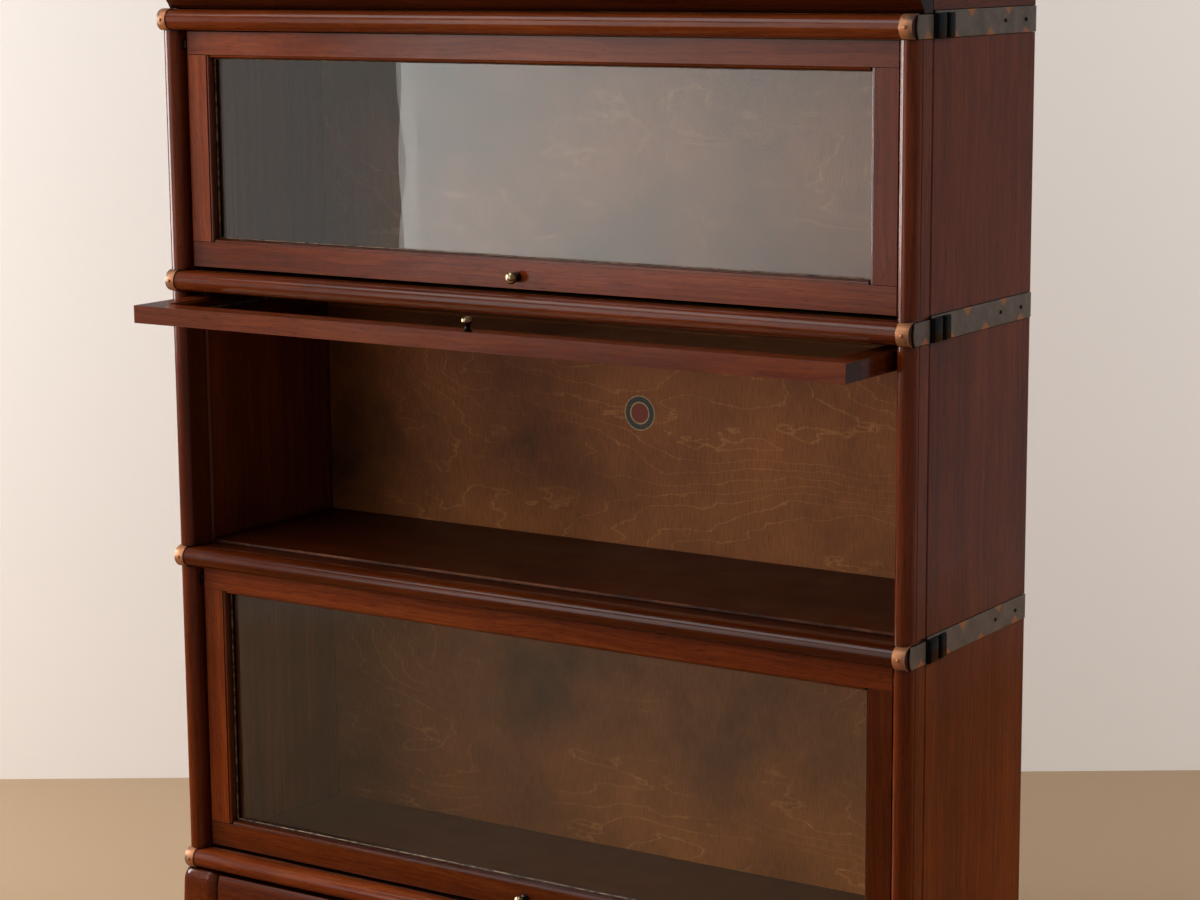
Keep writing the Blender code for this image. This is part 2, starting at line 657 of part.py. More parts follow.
def add_base():
    back = FRONT_Y + CASE_DEPTH
    back_front = back - BACK_INSET - 2 * BACK_THICKNESS
    for hand, sign in (("left", -1), ("right", 1)):
        name = f"base_side_{hand}"
        rings = [base_side_ring(sign, height) for height in base_levels(0.0)]
        side = add_object(name, loft_mesh(name, rings), smooth_angle=0.6)
        near, far = sorted((sign * (RECESS_X + 5 * MM), sign * (RECESS_X - RUNNER_WIDTH)))
        runner = box_mesh(
            f"{name}_runner",
            (near, FRONT_Y + NOSE_SETBACK + RUNNER_SETBACK, RUNNER_TOP - RUNNER_THICKNESS),
            (far, back_front - GAP, RUNNER_TOP),
        )
        combine(side, helper(f"{name}_runner", runner), "UNION")
    end = RECESS_X - GAP
    low = (-end, back_front, PLINTH_BOTTOM)
    high = (end, back_front + 2 * BACK_THICKNESS, BASE_HEIGHT - GAP)
    add_object("base_back", box_mesh("base_back", low, high))
    end = HALF_WIDTH - BASE_POST_WIDTH - GAP
    low = (-end, FRONT_Y + PLINTH_SETBACK, PLINTH_BOTTOM)
    high = (end, FRONT_Y + NOSE_SETBACK + BASE_POST_DEPTH, PLINTH_TOP)
    add_object("base_plinth_rail", box_mesh("base_plinth_rail", low, high))


def add_drawer():
    drawer = add_empty("drawer_slide_axis", (0, FRONT_Y, RUNNER_TOP))
    to_parent = -Vector(drawer.location)
    face = FRONT_Y + NOSE_SETBACK
    front_back = face + DRAWER_FRONT_THICKNESS
    front_end = HALF_WIDTH - BASE_POST_WIDTH - DRAWER_SIDE_GAP
    top = BASE_HEIGHT - DRAWER_TOP_GAP
    levels = [DRAWER_FRONT_BOTTOM + (top - DRAWER_FRONT_BOTTOM) * i / 10 for i in range(11)]
    edge = 4 * MM
    outline = []
    for height in levels:
        from_edge = min(height - DRAWER_FRONT_BOTTOM, top - height)
        ease = math.sqrt(1 - (1 - min(from_edge / edge, 1.0)) ** 2)
        outline.append((face - DRAWER_SWELL * (0.3 + 0.7 * ease), height))
    outline += [(front_back, top), (front_back, DRAWER_FRONT_BOTTOM)]
    mesh = prism_mesh("drawer_front", outline, "X", -front_end, front_end)
    front = add_object("drawer_front", mesh, parent=drawer, location=to_parent, smooth_angle=0.6)
    box_end = front_end - DRAWER_SIDE_INSET
    inner_end = box_end - DRAWER_SIDE_THICKNESS
    box_low = RUNNER_TOP + GAP
    box_high = BASE_HEIGHT - DRAWER_BOX_HEADROOM
    box_front = front_back + GAP
    box_back = FRONT_Y + CASE_DEPTH - DRAWER_BACK_SPACE
    for hand, sign in (("left", -1), ("right", 1)):
        near, far = sorted((sign * inner_end, sign * box_end))
        mesh = box_mesh(f"drawer_side_{hand}", (near, box_front, box_low), (far, box_back, box_high))
        add_object(f"drawer_side_{hand}", mesh, parent=drawer, location=to_parent)
    panel_end = inner_end - GAP
    back_front = box_back - DRAWER_SIDE_THICKNESS
    mesh = box_mesh("drawer_back", (-panel_end, back_front, box_low), (panel_end, box_back, box_high))
    add_object("drawer_back", mesh, parent=drawer, location=to_parent)
    floor = box_low + DRAWER_BOTTOM_INSET
    low = (-panel_end, box_front, floor)
    high = (panel_end, back_front - GAP, floor + DRAWER_BOTTOM_THICKNESS)
    add_object("drawer_bottom", box_mesh("drawer_bottom", low, high), parent=drawer, location=to_parent)
    knob_height = (DRAWER_FRONT_BOTTOM + top) / 2
    place = Vector((0, face - DRAWER_SWELL, knob_height)) + to_parent
    add_knob("drawer_knob", drawer, place, front)


def build():
    clear_scene()
    add_base()
    add_drawer()
    bottom = BASE_HEIGHT
    for section in reversed(SECTION_HEIGHTS):
        add_section(section, bottom)
        bottom += SECTION_HEIGHTS[section]
    add_crown(bottom)
    bpy.context.view_layer.update()


build()
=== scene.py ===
# Barrister bookcase: finishes, fittings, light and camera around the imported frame.
import bpy
import bmesh
import json
import math
from mathutils import Matrix, Vector, noise

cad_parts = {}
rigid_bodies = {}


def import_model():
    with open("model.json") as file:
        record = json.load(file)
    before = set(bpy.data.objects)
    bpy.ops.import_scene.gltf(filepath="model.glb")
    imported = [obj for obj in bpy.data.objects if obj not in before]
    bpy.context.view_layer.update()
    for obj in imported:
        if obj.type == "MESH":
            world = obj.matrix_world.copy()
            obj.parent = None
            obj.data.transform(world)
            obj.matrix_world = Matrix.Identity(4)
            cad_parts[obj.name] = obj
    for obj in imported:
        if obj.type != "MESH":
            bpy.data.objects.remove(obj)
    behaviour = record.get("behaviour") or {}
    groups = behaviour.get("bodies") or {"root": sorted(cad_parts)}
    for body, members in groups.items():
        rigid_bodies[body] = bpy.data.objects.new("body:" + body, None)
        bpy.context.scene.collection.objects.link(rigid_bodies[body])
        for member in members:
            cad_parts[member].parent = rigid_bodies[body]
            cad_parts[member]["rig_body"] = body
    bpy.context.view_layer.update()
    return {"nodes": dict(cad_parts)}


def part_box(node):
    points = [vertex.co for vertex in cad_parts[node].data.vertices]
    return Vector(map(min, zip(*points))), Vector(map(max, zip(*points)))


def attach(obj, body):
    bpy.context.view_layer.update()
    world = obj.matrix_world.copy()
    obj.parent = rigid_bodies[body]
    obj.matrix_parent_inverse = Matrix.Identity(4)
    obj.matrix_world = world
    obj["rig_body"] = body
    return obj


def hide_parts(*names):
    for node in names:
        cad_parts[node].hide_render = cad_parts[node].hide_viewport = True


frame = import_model()
nodes = frame["nodes"]
mm = 0.001
sectionNames = ("section1", "section2", "section3")
sides = (("left", -1), ("right", 1))
print("frame loaded:", len(nodes), "nodes")


def toLinear(hexColour):
    channels = [int(hexColour[i:i + 2], 16) / 255 for i in (1, 3, 5)]
    return tuple(c / 12.92 if c <= 0.04045 else ((c + 0.055) / 1.055) ** 2.4 for c in channels) + (1.0,)


def addNode(tree, kind, inputs=None, stops=None, **settings):
    # Inputs go by name or by place. A Mix takes its numbers on inputs 2 and 3, and its colours on 6 and 7.
    node = tree.nodes.new("ShaderNode" + kind)
    for name, value in settings.items():
        setattr(node, name, value)
    for key, value in (inputs or {}).items():
        if isinstance(value, bpy.types.NodeSocket):
            tree.links.new(value, node.inputs[key])
        else:
            node.inputs[key].default_value = value
    for i, (position, colour) in enumerate(stops or ()):
        stop = node.color_ramp.elements[i] if i < 2 else node.color_ramp.elements.new(position)
        stop.position = position
        stop.color = toLinear(colour)
    return node


def newMaterial(name):
    material = bpy.data.materials.new(name)
    material.use_nodes = True
    tree = material.node_tree
    return material, tree, tree.nodes["Principled BSDF"]


# Mahogany, sawn, stained red and French polished: deep red brown, fine open pores, a thin clear gloss.
mahogany = {
    "darkStain": "#301105",
    "midStain": "#68290c",
    "lightStain": "#8c4418",
    "pore": "#180703",
    "rubbedEdge": "#9a5a34",
    # painted shade: the near-black laid into corners and recesses
    "paintedCornerShade": "#0c0403",
    "poreLengthMm": 16.0,
    "poreWidthMm": 0.9,  # drawn coarser than real pores, so that they show
    "streakLengthMm": 420.0,
    "streakWidthMm": 3.4,
    "bandWidthMm": 42.0,
    "bendMm": 166.67,  # the run in which the grain wanders aside by up to swayMm
    "swayMm": 20.0,
    "cloudMm": 285.7,  # patches where the stain took darker
    "rubMm": 45.45,
    "smearMm": 55.56,
    "creviceMm": 5.0,
    "bandShare": 0.4,
    "cloudDepth": 0.35,
    "poreDepth": 0.5,
    "paintedCornerShadeDepth": 0.88,
    "roughness": 0.11,
    "smearedRoughness": 0.1,  # added where the polish is smeared
    "dullRoughness": 0.3,  # added where it was never polished out
}


def frenchPolishedMahogany(name, shade=1.0, dull=0.0, specular=0.3, rubbing=0.35, edgeMm=1.2):
    # shade multiplies the stain; dull runs from 0, the show wood, to 1, inside faces with hardly any polish.
    material, tree, shader = newMaterial(name)
    place = addNode(tree, "Attribute", attribute_name="grain").outputs["Vector"]
    bend = addNode(
        tree, "TexNoise", {"Vector": place, "Scale": 1000 / mahogany["bendMm"], "Detail": 2.0}
    ).outputs["Color"]
    sway = mahogany["swayMm"] * mm
    aside = addNode(tree, "VectorMath", {0: bend, 1: (0.0, sway, sway)}, operation="MULTIPLY").outputs[0]
    bent = addNode(tree, "VectorMath", {0: place, 1: aside}, operation="ADD").outputs[0]

    def drawnOut(lengthMm, widthMm, detail, roughness=0.5):
        scale = (1000 / lengthMm, 1000 / widthMm, 1000 / widthMm)
        drawn = addNode(tree, "Mapping", {"Vector": bent, "Scale": scale}).outputs[0]
        return addNode(
            tree, "TexNoise", {"Vector": drawn, "Scale": 1.0, "Detail": detail, "Roughness": roughness}
        ).outputs[0]

    def cloudy(sizeMm, detail, roughness):
        return addNode(
            tree,
            "TexNoise",
            {"Vector": place, "Scale": 1000 / sizeMm, "Detail": detail, "Roughness": roughness},
        ).outputs[0]

    streaks = drawnOut(mahogany["streakLengthMm"], mahogany["streakWidthMm"], 6.0, 0.66)
    bands = drawnOut(mahogany["streakLengthMm"] * 2, mahogany["bandWidthMm"], 2.0)
    figure = addNode(tree, "Mix", {0: mahogany["bandShare"], 2: streaks, 3: bands}).outputs[0]
    stain = addNode(
        tree,
        "ValToRGB",
        {"Fac": figure},
        stops=((0.22, mahogany["darkStain"]), (0.78, mahogany["lightStain"]), (0.5, mahogany["midStain"])),
    ).outputs[0]
    clouds = cloudy(mahogany["cloudMm"], 4.0, 0.55)
    cloudMask = addNode(
        tree,
        "MapRange",
        {"Value": clouds, "From Min": 0.4, "From Max": 0.62, "To Min": mahogany["cloudDepth"], "To Max": 0.0},
    ).outputs[0]
    clouded = addNode(
        tree, "Mix", {0: cloudMask, 6: stain, 7: toLinear(mahogany["darkStain"])}, data_type="RGBA"
    ).outputs[2]
    pores = drawnOut(mahogany["poreLengthMm"], mahogany["poreWidthMm"], 2.0)
    poreMask = addNode(
        tree,
        "MapRange",
        {"Value": pores, "From Min": 0.56, "From Max": 0.72, "To Max": mahogany["poreDepth"]},
    ).outputs[0]
    pored = addNode(
        tree, "Mix", {0: poreMask, 6: clouded, 7: toLinear(mahogany["pore"])}, data_type="RGBA"
    ).outputs[2]
    tone = addNode(tree, "Attribute", attribute_name="boardTone").outputs["Fac"]
    toned = addNode(tree, "Math", {0: tone, 1: shade}, operation="MULTIPLY").outputs[0]
    shadeColour = addNode(tree, "CombineColor", {0: toned, 1: toned, 2: toned}).outputs[0]
    shaded = addNode(
        tree, "Mix", {0: 1.0, 6: pored, 7: shadeColour}, data_type="RGBA", blend_type="MULTIPLY"
    ).outputs[2]
    # Arrises are rubbed pale where hands reach. Corners and recesses get painted shade: ambient occlusion
    # darkens them to near black.
    rounded = addNode(tree, "Bevel", {"Radius": edgeMm * mm}, samples=4).outputs[0]
    trueNormal = addNode(tree, "NewGeometry").outputs["Normal"]
    agree = addNode(tree, "VectorMath", {0: rounded, 1: trueNormal}, operation="DOT_PRODUCT").outputs["Value"]
    nearEdge = addNode(tree, "MapRange", {"Value": agree, "From Min": 0.995, "From Max": 0.9}).outputs[0]
    rub = cloudy(mahogany["rubMm"], 4.0, 0.6)
    rubMask = addNode(
        tree, "MapRange", {"Value": rub, "From Min": 0.4, "From Max": 0.65, "To Max": rubbing}
    ).outputs[0]
    rubEdge = addNode(tree, "Math", {0: nearEdge, 1: rubMask}, operation="MULTIPLY").outputs[0]
    # Painted shade: the occlusion mask darkens corners, creases and recesses towards near black.
    openness = addNode(
        tree, "AmbientOcclusion", {"Distance": mahogany["creviceMm"] * mm}, samples=4
    ).outputs["AO"]
    paintedShadeMask = addNode(
        tree,
        "MapRange",
        {"Value": openness, "From Min": 0.97, "From Max": 0.55, "To Max": mahogany["paintedCornerShadeDepth"]},
    ).outputs[0]
    rubbed = addNode(
        tree, "Mix", {0: rubEdge, 6: shaded, 7: toLinear(mahogany["rubbedEdge"])}, data_type="RGBA"
    ).outputs[2]
    cornerShadedColour = addNode(
        tree, "Mix", {0: paintedShadeMask, 6: rubbed, 7: toLinear(mahogany["paintedCornerShade"])}, data_type="RGBA"
    ).outputs[2]
    tree.links.new(cornerShadedColour, shader.inputs["Base Color"])
    smear = cloudy(mahogany["smearMm"], 5.0, 0.6)
    smooth = mahogany["roughness"] + mahogany["dullRoughness"] * dull
    smeared = smooth + mahogany["smearedRoughness"]
    rough = addNode(
        tree,
        "MapRange",
        {"Value": smear, "From Min": 0.3, "From Max": 0.7, "To Min": smooth, "To Max": smeared},
    ).outputs[0]
    tree.links.new(rough, shader.inputs["Roughness"])
    relief = addNode(tree, "Math", {0: streaks, 1: poreMask}, operation="SUBTRACT").outputs[0]
    bump = addNode(tree, "Bump", {"Height": relief, "Strength": 0.25, "Distance": 0.1 * mm}).outputs[0]
    tree.links.new(bump, shader.inputs["Normal"])
    shader.inputs["Specular IOR Level"].default_value = specular
    return material


# Birch plywood, rotary cut and washed with brown stain: wandering contour lines and short upright flecks.
plywood = {
    "dark": "#2b170b",
    "mid": "#7c461d",
    "light": "#a4602c",
    "line": "#cf8d52",
    "hillLengthMm": 555.56,
    "hillWidthMm": 181.82,
    "riseMm": 600.0,  # the run over which the figure would climb from 0 to 1
    "contourMm": 24.0,
    "cloudMm": 200.0,
    "fleckLengthMm": 15.0,
    "fleckWidthMm": 1.3,  # the real flecks are finer and would not show
    "lineDepth": 0.5,
    "fleckDepth": 0.27,
    "roughness": 0.5,
    "specular": 0.25,
}


def stainedPlywood(name):
    material, tree, shader = newMaterial(name)
    place = addNode(tree, "Attribute", attribute_name="grain").outputs["Vector"]
    hillWide = 1000 / plywood["hillWidthMm"]
    hillScale = (1000 / plywood["hillLengthMm"], hillWide, hillWide)
    hillPlace = addNode(tree, "Mapping", {"Vector": place, "Scale": hillScale}).outputs[0]
    hills = addNode(
        tree, "TexNoise", {"Vector": hillPlace, "Scale": 1.0, "Detail": 7.0, "Roughness": 0.46}
    ).outputs[0]
    contours = plywood["riseMm"] / plywood["contourMm"]
    rings = addNode(tree, "Math", {0: hills, 1: contours}, operation="MULTIPLY").outputs[0]
    saw = addNode(tree, "Math", {0: rings}, operation="FRACT").outputs[0]
    ring = addNode(tree, "MapRange", {"Value": saw, "From Min": 0.9, "From Max": 0.99}).outputs[0]
    clouds = addNode(
        tree,
        "TexNoise",
        {"Vector": place, "Scale": 1000 / plywood["cloudMm"], "Detail": 6.0, "Roughness": 0.55},
    ).outputs[0]
    showing = addNode(
        tree, "MapRange", {"Value": clouds, "From Min": 0.42, "From Max": 0.6, "To Max": plywood["lineDepth"]}
    ).outputs[0]
    ringMask = addNode(tree, "Math", {0: ring, 1: showing}, operation="MULTIPLY").outputs[0]
    stain = addNode(
        tree,
        "ValToRGB",
        {"Fac": clouds},
        stops=((0.25, plywood["dark"]), (0.68, plywood["light"]), (0.44, plywood["mid"])),
    ).outputs[0]
    lined = addNode(
        tree, "Mix", {0: ringMask, 6: stain, 7: toLinear(plywood["line"])}, data_type="RGBA"
    ).outputs[2]
    fleckLong = 1000 / plywood["fleckLengthMm"]
    fleckScale = (1000 / plywood["fleckWidthMm"], fleckLong, fleckLong)
    fleckPlace = addNode(tree, "Mapping", {"Vector": place, "Scale": fleckScale}).outputs[0]
    flecks = addNode(tree, "TexNoise", {"Vector": fleckPlace, "Scale": 1.0, "Detail": 2.0}).outputs[0]
    fleckMask = addNode(
        tree,
        "MapRange",
        {"Value": flecks, "From Min": 0.4, "From Max": 0.64, "To Max": plywood["fleckDepth"]},
    ).outputs[0]
    flecked = addNode(
        tree, "Mix", {0: fleckMask, 6: lined, 7: toLinear(plywood["dark"])}, data_type="RGBA"
    ).outputs[2]
    tree.links.new(flecked, shader.inputs["Base Color"])
    shader.inputs["Roughness"].default_value = plywood["roughness"]
    shader.inputs["Specular IOR Level"].default_value = plywood["specular"]
    bump = addNode(tree, "Bump", {"Height": fleckMask, "Strength": 0.2, "Distance": 0.2 * mm}, invert=True)
    tree.links.new(bump.outputs[0], shader.inputs["Normal"])
    return material


# Rolled steel strip, thinly plated with copper and gone brown: a dull grey brown, bare copper at the scrapes.
banding = {
    "brown": "#645a51",
    "grey": "#7c7168",
    "copper": "#b97545",
    "bareDepth": 0.85,
    "metallic": 0.45,  # half hidden by the brown film
    "roughness": 0.34,
    "grittyRoughness": 0.18,  # added where it is gritty
    "cloudMm": 18.18,
    "gritMm": 2.381,  # real grit is finer and would not show
    "lowMarksMm": (18, 70, 142, 217),  # scrapes along the lower edge, back from the case's front
    "highMarksMm": (103, 180),
    "markWidthMm": 17,
    "markHeightMm": 7,
    "easeMm": 0.35,
    "stepMm": 2.0,
    "overhangMm": 3.5,  # how far a strip reaches forward of the case
}


def brownedStrip(name, plated=0.0):
    # plated runs from 0, browned all over, to 1, where most of the copper still shows.
    material, tree, shader = newMaterial(name)
    place = addNode(tree, "TexCoord").outputs["Object"]
    clouds = addNode(
        tree,
        "TexNoise",
        {"Vector": place, "Scale": 1000 / banding["cloudMm"], "Detail": 5.0, "Roughness": 0.65},
    ).outputs[0]
    brown = addNode(
        tree, "ValToRGB", {"Fac": clouds}, stops=((0.35, banding["brown"]), (0.65, banding["grey"]))
    ).outputs[0]
    scrape = addNode(tree, "Attribute", attribute_name="scrape").outputs["Fac"]
    grit = addNode(
        tree,
        "TexNoise",
        {"Vector": place, "Scale": 1000 / banding["gritMm"], "Detail": 3.0, "Roughness": 0.7},
    ).outputs[0]
    gritty = addNode(tree, "Math", {0: grit, 1: 0.5}, operation="SUBTRACT").outputs[0]
    torn = addNode(tree, "Math", {0: gritty, 1: 1.6, 2: scrape}, operation="MULTIPLY_ADD").outputs[0]
    ragged = addNode(tree, "Math", {0: clouds, 1: 1.4, 2: torn}, operation="MULTIPLY_ADD").outputs[0]
    bare = addNode(
        tree, "MapRange", {"Value": ragged, "From Min": 1.0, "From Max": 1.5, "To Max": banding["bareDepth"]}
    ).outputs[0]
    patchFrom = 0.62 - 0.25 * plated
    patchTo = 0.7 - 0.2 * plated
    patch = addNode(
        tree, "MapRange", {"Value": clouds, "From Min": patchFrom, "From Max": patchTo, "To Max": plated}
    ).outputs[0]
    copperMask = addNode(tree, "Math", {0: bare, 1: patch}, operation="MAXIMUM").outputs[0]
    colour = addNode(
        tree, "Mix", {0: copperMask, 6: brown, 7: toLinear(banding["copper"])}, data_type="RGBA"
    ).outputs[2]
    tree.links.new(colour, shader.inputs["Base Color"])
    shader.inputs["Metallic"].default_value = banding["metallic"]
    smooth = banding["roughness"]
    gritted = smooth + banding["grittyRoughness"]
    rough = addNode(
        tree,
        "MapRange",
        {"Value": grit, "From Min": 0.3, "From Max": 0.7, "To Min": smooth, "To Max": gritted},
    ).outputs[0]
    tree.links.new(rough, shader.inputs["Roughness"])
    bump = addNode(tree, "Bump", {"Height": grit, "Strength": 0.15, "Distance": 0.1 * mm}).outputs[0]
    tree.links.new(bump, shader.inputs["Normal"])
    return material


# Turned brass, aged under old lacquer: dark in the hollows, rubbed bright on the crown of the knob.
agedBrass = {"dark": "#1d1713", "rubbed": "#96805f", "roughness": 0.2, "cloudMm": 6.25}


def lacqueredBrass(name):
    material, tree, shader = newMaterial(name)
    place = addNode(tree, "TexCoord").outputs["Object"]
    clouds = addNode(
        tree, "TexNoise", {"Vector": place, "Scale": 1000 / agedBrass["cloudMm"], "Detail": 4.0}
    ).outputs[0]
    touched = addNode(tree, "Attribute", attribute_name="scrape").outputs["Fac"]
    mask = addNode(tree, "Math", {0: clouds, 1: 0.9, 2: touched}, operation="MULTIPLY_ADD").outputs[0]
    bare = addNode(tree, "MapRange", {"Value": mask, "From Min": 0.55, "From Max": 1.25}).outputs[0]
    dark = toLinear(agedBrass["dark"])
    rubbed = toLinear(agedBrass["rubbed"])
    colour = addNode(tree, "Mix", {0: bare, 6: dark, 7: rubbed}, data_type="RGBA").outputs[2]
    tree.links.new(colour, shader.inputs["Base Color"])
    shader.inputs["Metallic"].default_value = 1.0
    shader.inputs["Roughness"].default_value = agedBrass["roughness"]
    return material


# Sheet iron under black japan: brushed on thick, shiny, with soft lumps.
japan = {"black": "#040404", "roughness": 0.16, "lumpyRoughness": 0.28, "specular": 0.12, "lumpMm": 3.846}


def blackJapan(name):
    material, tree, shader = newMaterial(name)
    place = addNode(tree, "TexCoord").outputs["Object"]
    lumps = addNode(
        tree, "TexNoise", {"Vector": place, "Scale": 1000 / japan["lumpMm"], "Detail": 3.0}
    ).outputs[0]
    shader.inputs["Base Color"].default_value = toLinear(japan["black"])
    smooth = japan["roughness"]
    lumpy = smooth + japan["lumpyRoughness"]
    rough = addNode(tree, "MapRange", {"Value": lumps, "To Min": smooth, "To Max": lumpy}).outputs[0]
    tree.links.new(rough, shader.inputs["Roughness"])
    bump = addNode(tree, "Bump", {"Height": lumps, "Strength": 0.35, "Distance": 0.4 * mm}).outputs[0]
    tree.links.new(bump, shader.inputs["Normal"])
    shader.inputs["Specular IOR Level"].default_value = japan["specular"]
    return material


# Steel rod and screws, drawn or turned, blued with age: dark grey with a low shine.
bluedSteel = {"dark": "#1d1c1b", "light": "#4a4642", "metallic": 0.9, "roughness": 0.4, "cloudMm": 8.333}


def agedSteel(name):
    material, tree, shader = newMaterial(name)
    place = addNode(tree, "TexCoord").outputs["Object"]
    clouds = addNode(
        tree, "TexNoise", {"Vector": place, "Scale": 1000 / bluedSteel["cloudMm"], "Detail": 4.0}
    ).outputs[0]
    colour = addNode(
        tree, "ValToRGB", {"Fac": clouds}, stops=((0.35, bluedSteel["dark"]), (0.7, bluedSteel["light"]))
    ).outputs[0]
    tree.links.new(colour, shader.inputs["Base Color"])
    shader.inputs["Metallic"].default_value = bluedSteel["metallic"]
    shader.inputs["Roughness"].default_value = bluedSteel["roughness"]
    return material


# Old drawn sheet glass: nearly clear, faintly grey, its slow waves made in the pane itself.
sheetGlass = {"tint": "#eeefe9", "ior": 1.47}


def drawnSheetGlass(name):
    material, tree, shader = newMaterial(name)
    shader.inputs["Base Color"].default_value = toLinear(sheetGlass["tint"])
    shader.inputs["Roughness"].default_value = 0.0
    shader.inputs["IOR"].default_value = sheetGlass["ior"]
    shader.inputs["Transmission Weight"].default_value = 1.0
    # Lamps shine through the pane, so that the inside of the case is lit as it is behind real glass.
    passed = addNode(tree, "BsdfTransparent", {"Color": toLinear(sheetGlass["tint"])}).outputs[0]
    shadowRay = addNode(tree, "LightPath").outputs["Is Shadow Ray"]
    both = addNode(tree, "MixShader", {0: shadowRay, 1: shader.outputs[0], 2: passed}).outputs[0]
    tree.links.new(both, tree.nodes["Material Output"].inputs["Surface"])
    return material


# Linseed putty, pressed in with a thumb and gone hard: chalky tan, a ragged thin line.
oldPutty = {"pale": "#8a7054", "dirty": "#33241a", "roughness": 0.8, "dirtMm": 7.143}


def hardenedPutty(name):
    material, tree, shader = newMaterial(name)
    place = addNode(tree, "TexCoord").outputs["Object"]
    dirt = addNode(
        tree, "TexNoise", {"Vector": place, "Scale": 1000 / oldPutty["dirtMm"], "Detail": 4.0}
    ).outputs[0]
    colour = addNode(
        tree, "ValToRGB", {"Fac": dirt}, stops=((0.4, oldPutty["dirty"]), (0.6, oldPutty["pale"]))
    ).outputs[0]
    tree.links.new(colour, shader.inputs["Base Color"])
    shader.inputs["Roughness"].default_value = oldPutty["roughness"]
    return material


# Printed paper label, plain and faded: a dull field, a thin pale ring, edges rubbed through to the wood.
paperLabel = {
    "core": "#84382a",
    "line": "#c0a883",
    "field": "#38423f",
    "ring": "#b89a72",
    "wearMm": 2.381,
    "wearDepth": 0.45,
    "roughness": 0.7,
}


def fadedLabel(name):
    material, tree, shader = newMaterial(name)
    radius = addNode(tree, "Attribute", attribute_name="scrape").outputs["Fac"]
    rings = addNode(
        tree,
        "ValToRGB",
        {"Fac": radius},
        stops=(
            (0.0, paperLabel["core"]),
            (0.93, paperLabel["ring"]),
            (0.56, paperLabel["line"]),
            (0.64, paperLabel["field"]),
        ),
    )
    rings.color_ramp.interpolation = "CONSTANT"
    place = addNode(tree, "TexCoord").outputs["Object"]
    wear = addNode(
        tree, "TexNoise", {"Vector": place, "Scale": 1000 / paperLabel["wearMm"], "Detail": 3.0}
    ).outputs[0]
    worn = addNode(
        tree,
        "MapRange",
        {"Value": wear, "From Min": 0.5, "From Max": 0.62, "To Max": paperLabel["wearDepth"]},
    ).outputs[0]
    colour = addNode(
        tree, "Mix", {0: worn, 6: rings.outputs[0], 7: toLinear(plywood["mid"])}, data_type="RGBA"
    ).outputs[2]
    tree.links.new(colour, shader.inputs["Base Color"])
    shader.inputs["Roughness"].default_value = paperLabel["roughness"]
    return material


showWood = frenchPolishedMahogany("mahoganyFrenchPolished", specular=0.27)
frameWood = frenchPolishedMahogany("mahoganyDoorFrame", shade=1.2, specular=0.25)
sideWood = frenchPolishedMahogany("mahoganyCaseSide", shade=1.0, specular=0.24)
# Painted shade: the cornice and crown top take a copy of the mahogany darkened to 0.45, for the shadow the
# cornice front stands in.
crownWoodShaded = frenchPolishedMahogany("mahoganyCrownShaded", shade=0.45)
innerWood = frenchPolishedMahogany(
    "mahoganyInside", shade=0.3, dull=0.6, specular=0.1, rubbing=1.0, edgeMm=2.4
)
backBoard = stainedPlywood("birchPlywoodStained")
strip = brownedStrip("steelStripBrowned")
copperCap = brownedStrip("copperCapWorn", plated=0.75)
knobBrass = lacqueredBrass("brassLacqueredAged")
clipBlack = blackJapan("ironBlackJapan")
rodSteel = agedSteel("steelBlued")
paneGlass = drawnSheetGlass("glassDrawnSheet")
putty = hardenedPutty("puttyHardened")
labelPaper = fadedLabel("labelPaperFaded")
print("finishes mixed")


def finishMesh(bm, name, sharpDegrees=40):
    mesh = bpy.data.meshes.new(name)
    bm.to_mesh(mesh)
    bm.free()
    mesh.shade_smooth()
    mesh.set_sharp_from_angle(angle=math.radians(sharpDegrees))
    piece = bpy.data.objects.new(name, mesh)
    bpy.context.scene.collection.objects.link(piece)
    return piece


def fitPiece(piece, body, material, slotName, *replaced):
    piece.data.materials.clear()
    piece.data.materials.append(material)
    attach(piece, body)
    if replaced:
        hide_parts(*replaced)


def nodeCopy(nodeName):
    # The CAD piece's shape, welded, with its flat faces whole again.
    bm = bmesh.new()
    bm.from_mesh(nodes[nodeName].data)
    bmesh.ops.remove_doubles(bm, verts=bm.verts, dist=0.02 * mm)
    bmesh.ops.dissolve_limit(bm, angle_limit=math.radians(1.0), verts=bm.verts, edges=bm.edges)
    return bm


def easeEdges(bm, overDegrees, widthMm, segments=2, outsideOnly=False):
    limit = math.radians(overDegrees)
    sharp = [e for e in bm.edges if len(e.link_faces) == 2 and e.calc_face_angle() > limit]
    if outsideOnly:
        sharp = [e for e in sharp if e.is_convex]
    offset = widthMm * mm
    bmesh.ops.bevel(
        bm, geom=sharp, offset=offset, segments=segments, profile=0.5, affect="EDGES", clamp_overlap=True
    )


def skin(bm, rings):
    # Faces between neighbouring rings of points; a ring of one point closes an end.
    for a, b in zip(rings, rings[1:]):
        count = max(len(a), len(b))
        for i in range(count):
            j = (i + 1) % count
            if len(b) == 1:
                bm.faces.new((a[i], a[j], b[0]))
            elif len(a) == 1:
                bm.faces.new((a[0], b[j], b[i]))
            else:
                bm.faces.new((a[i], a[j], b[j], b[i]))


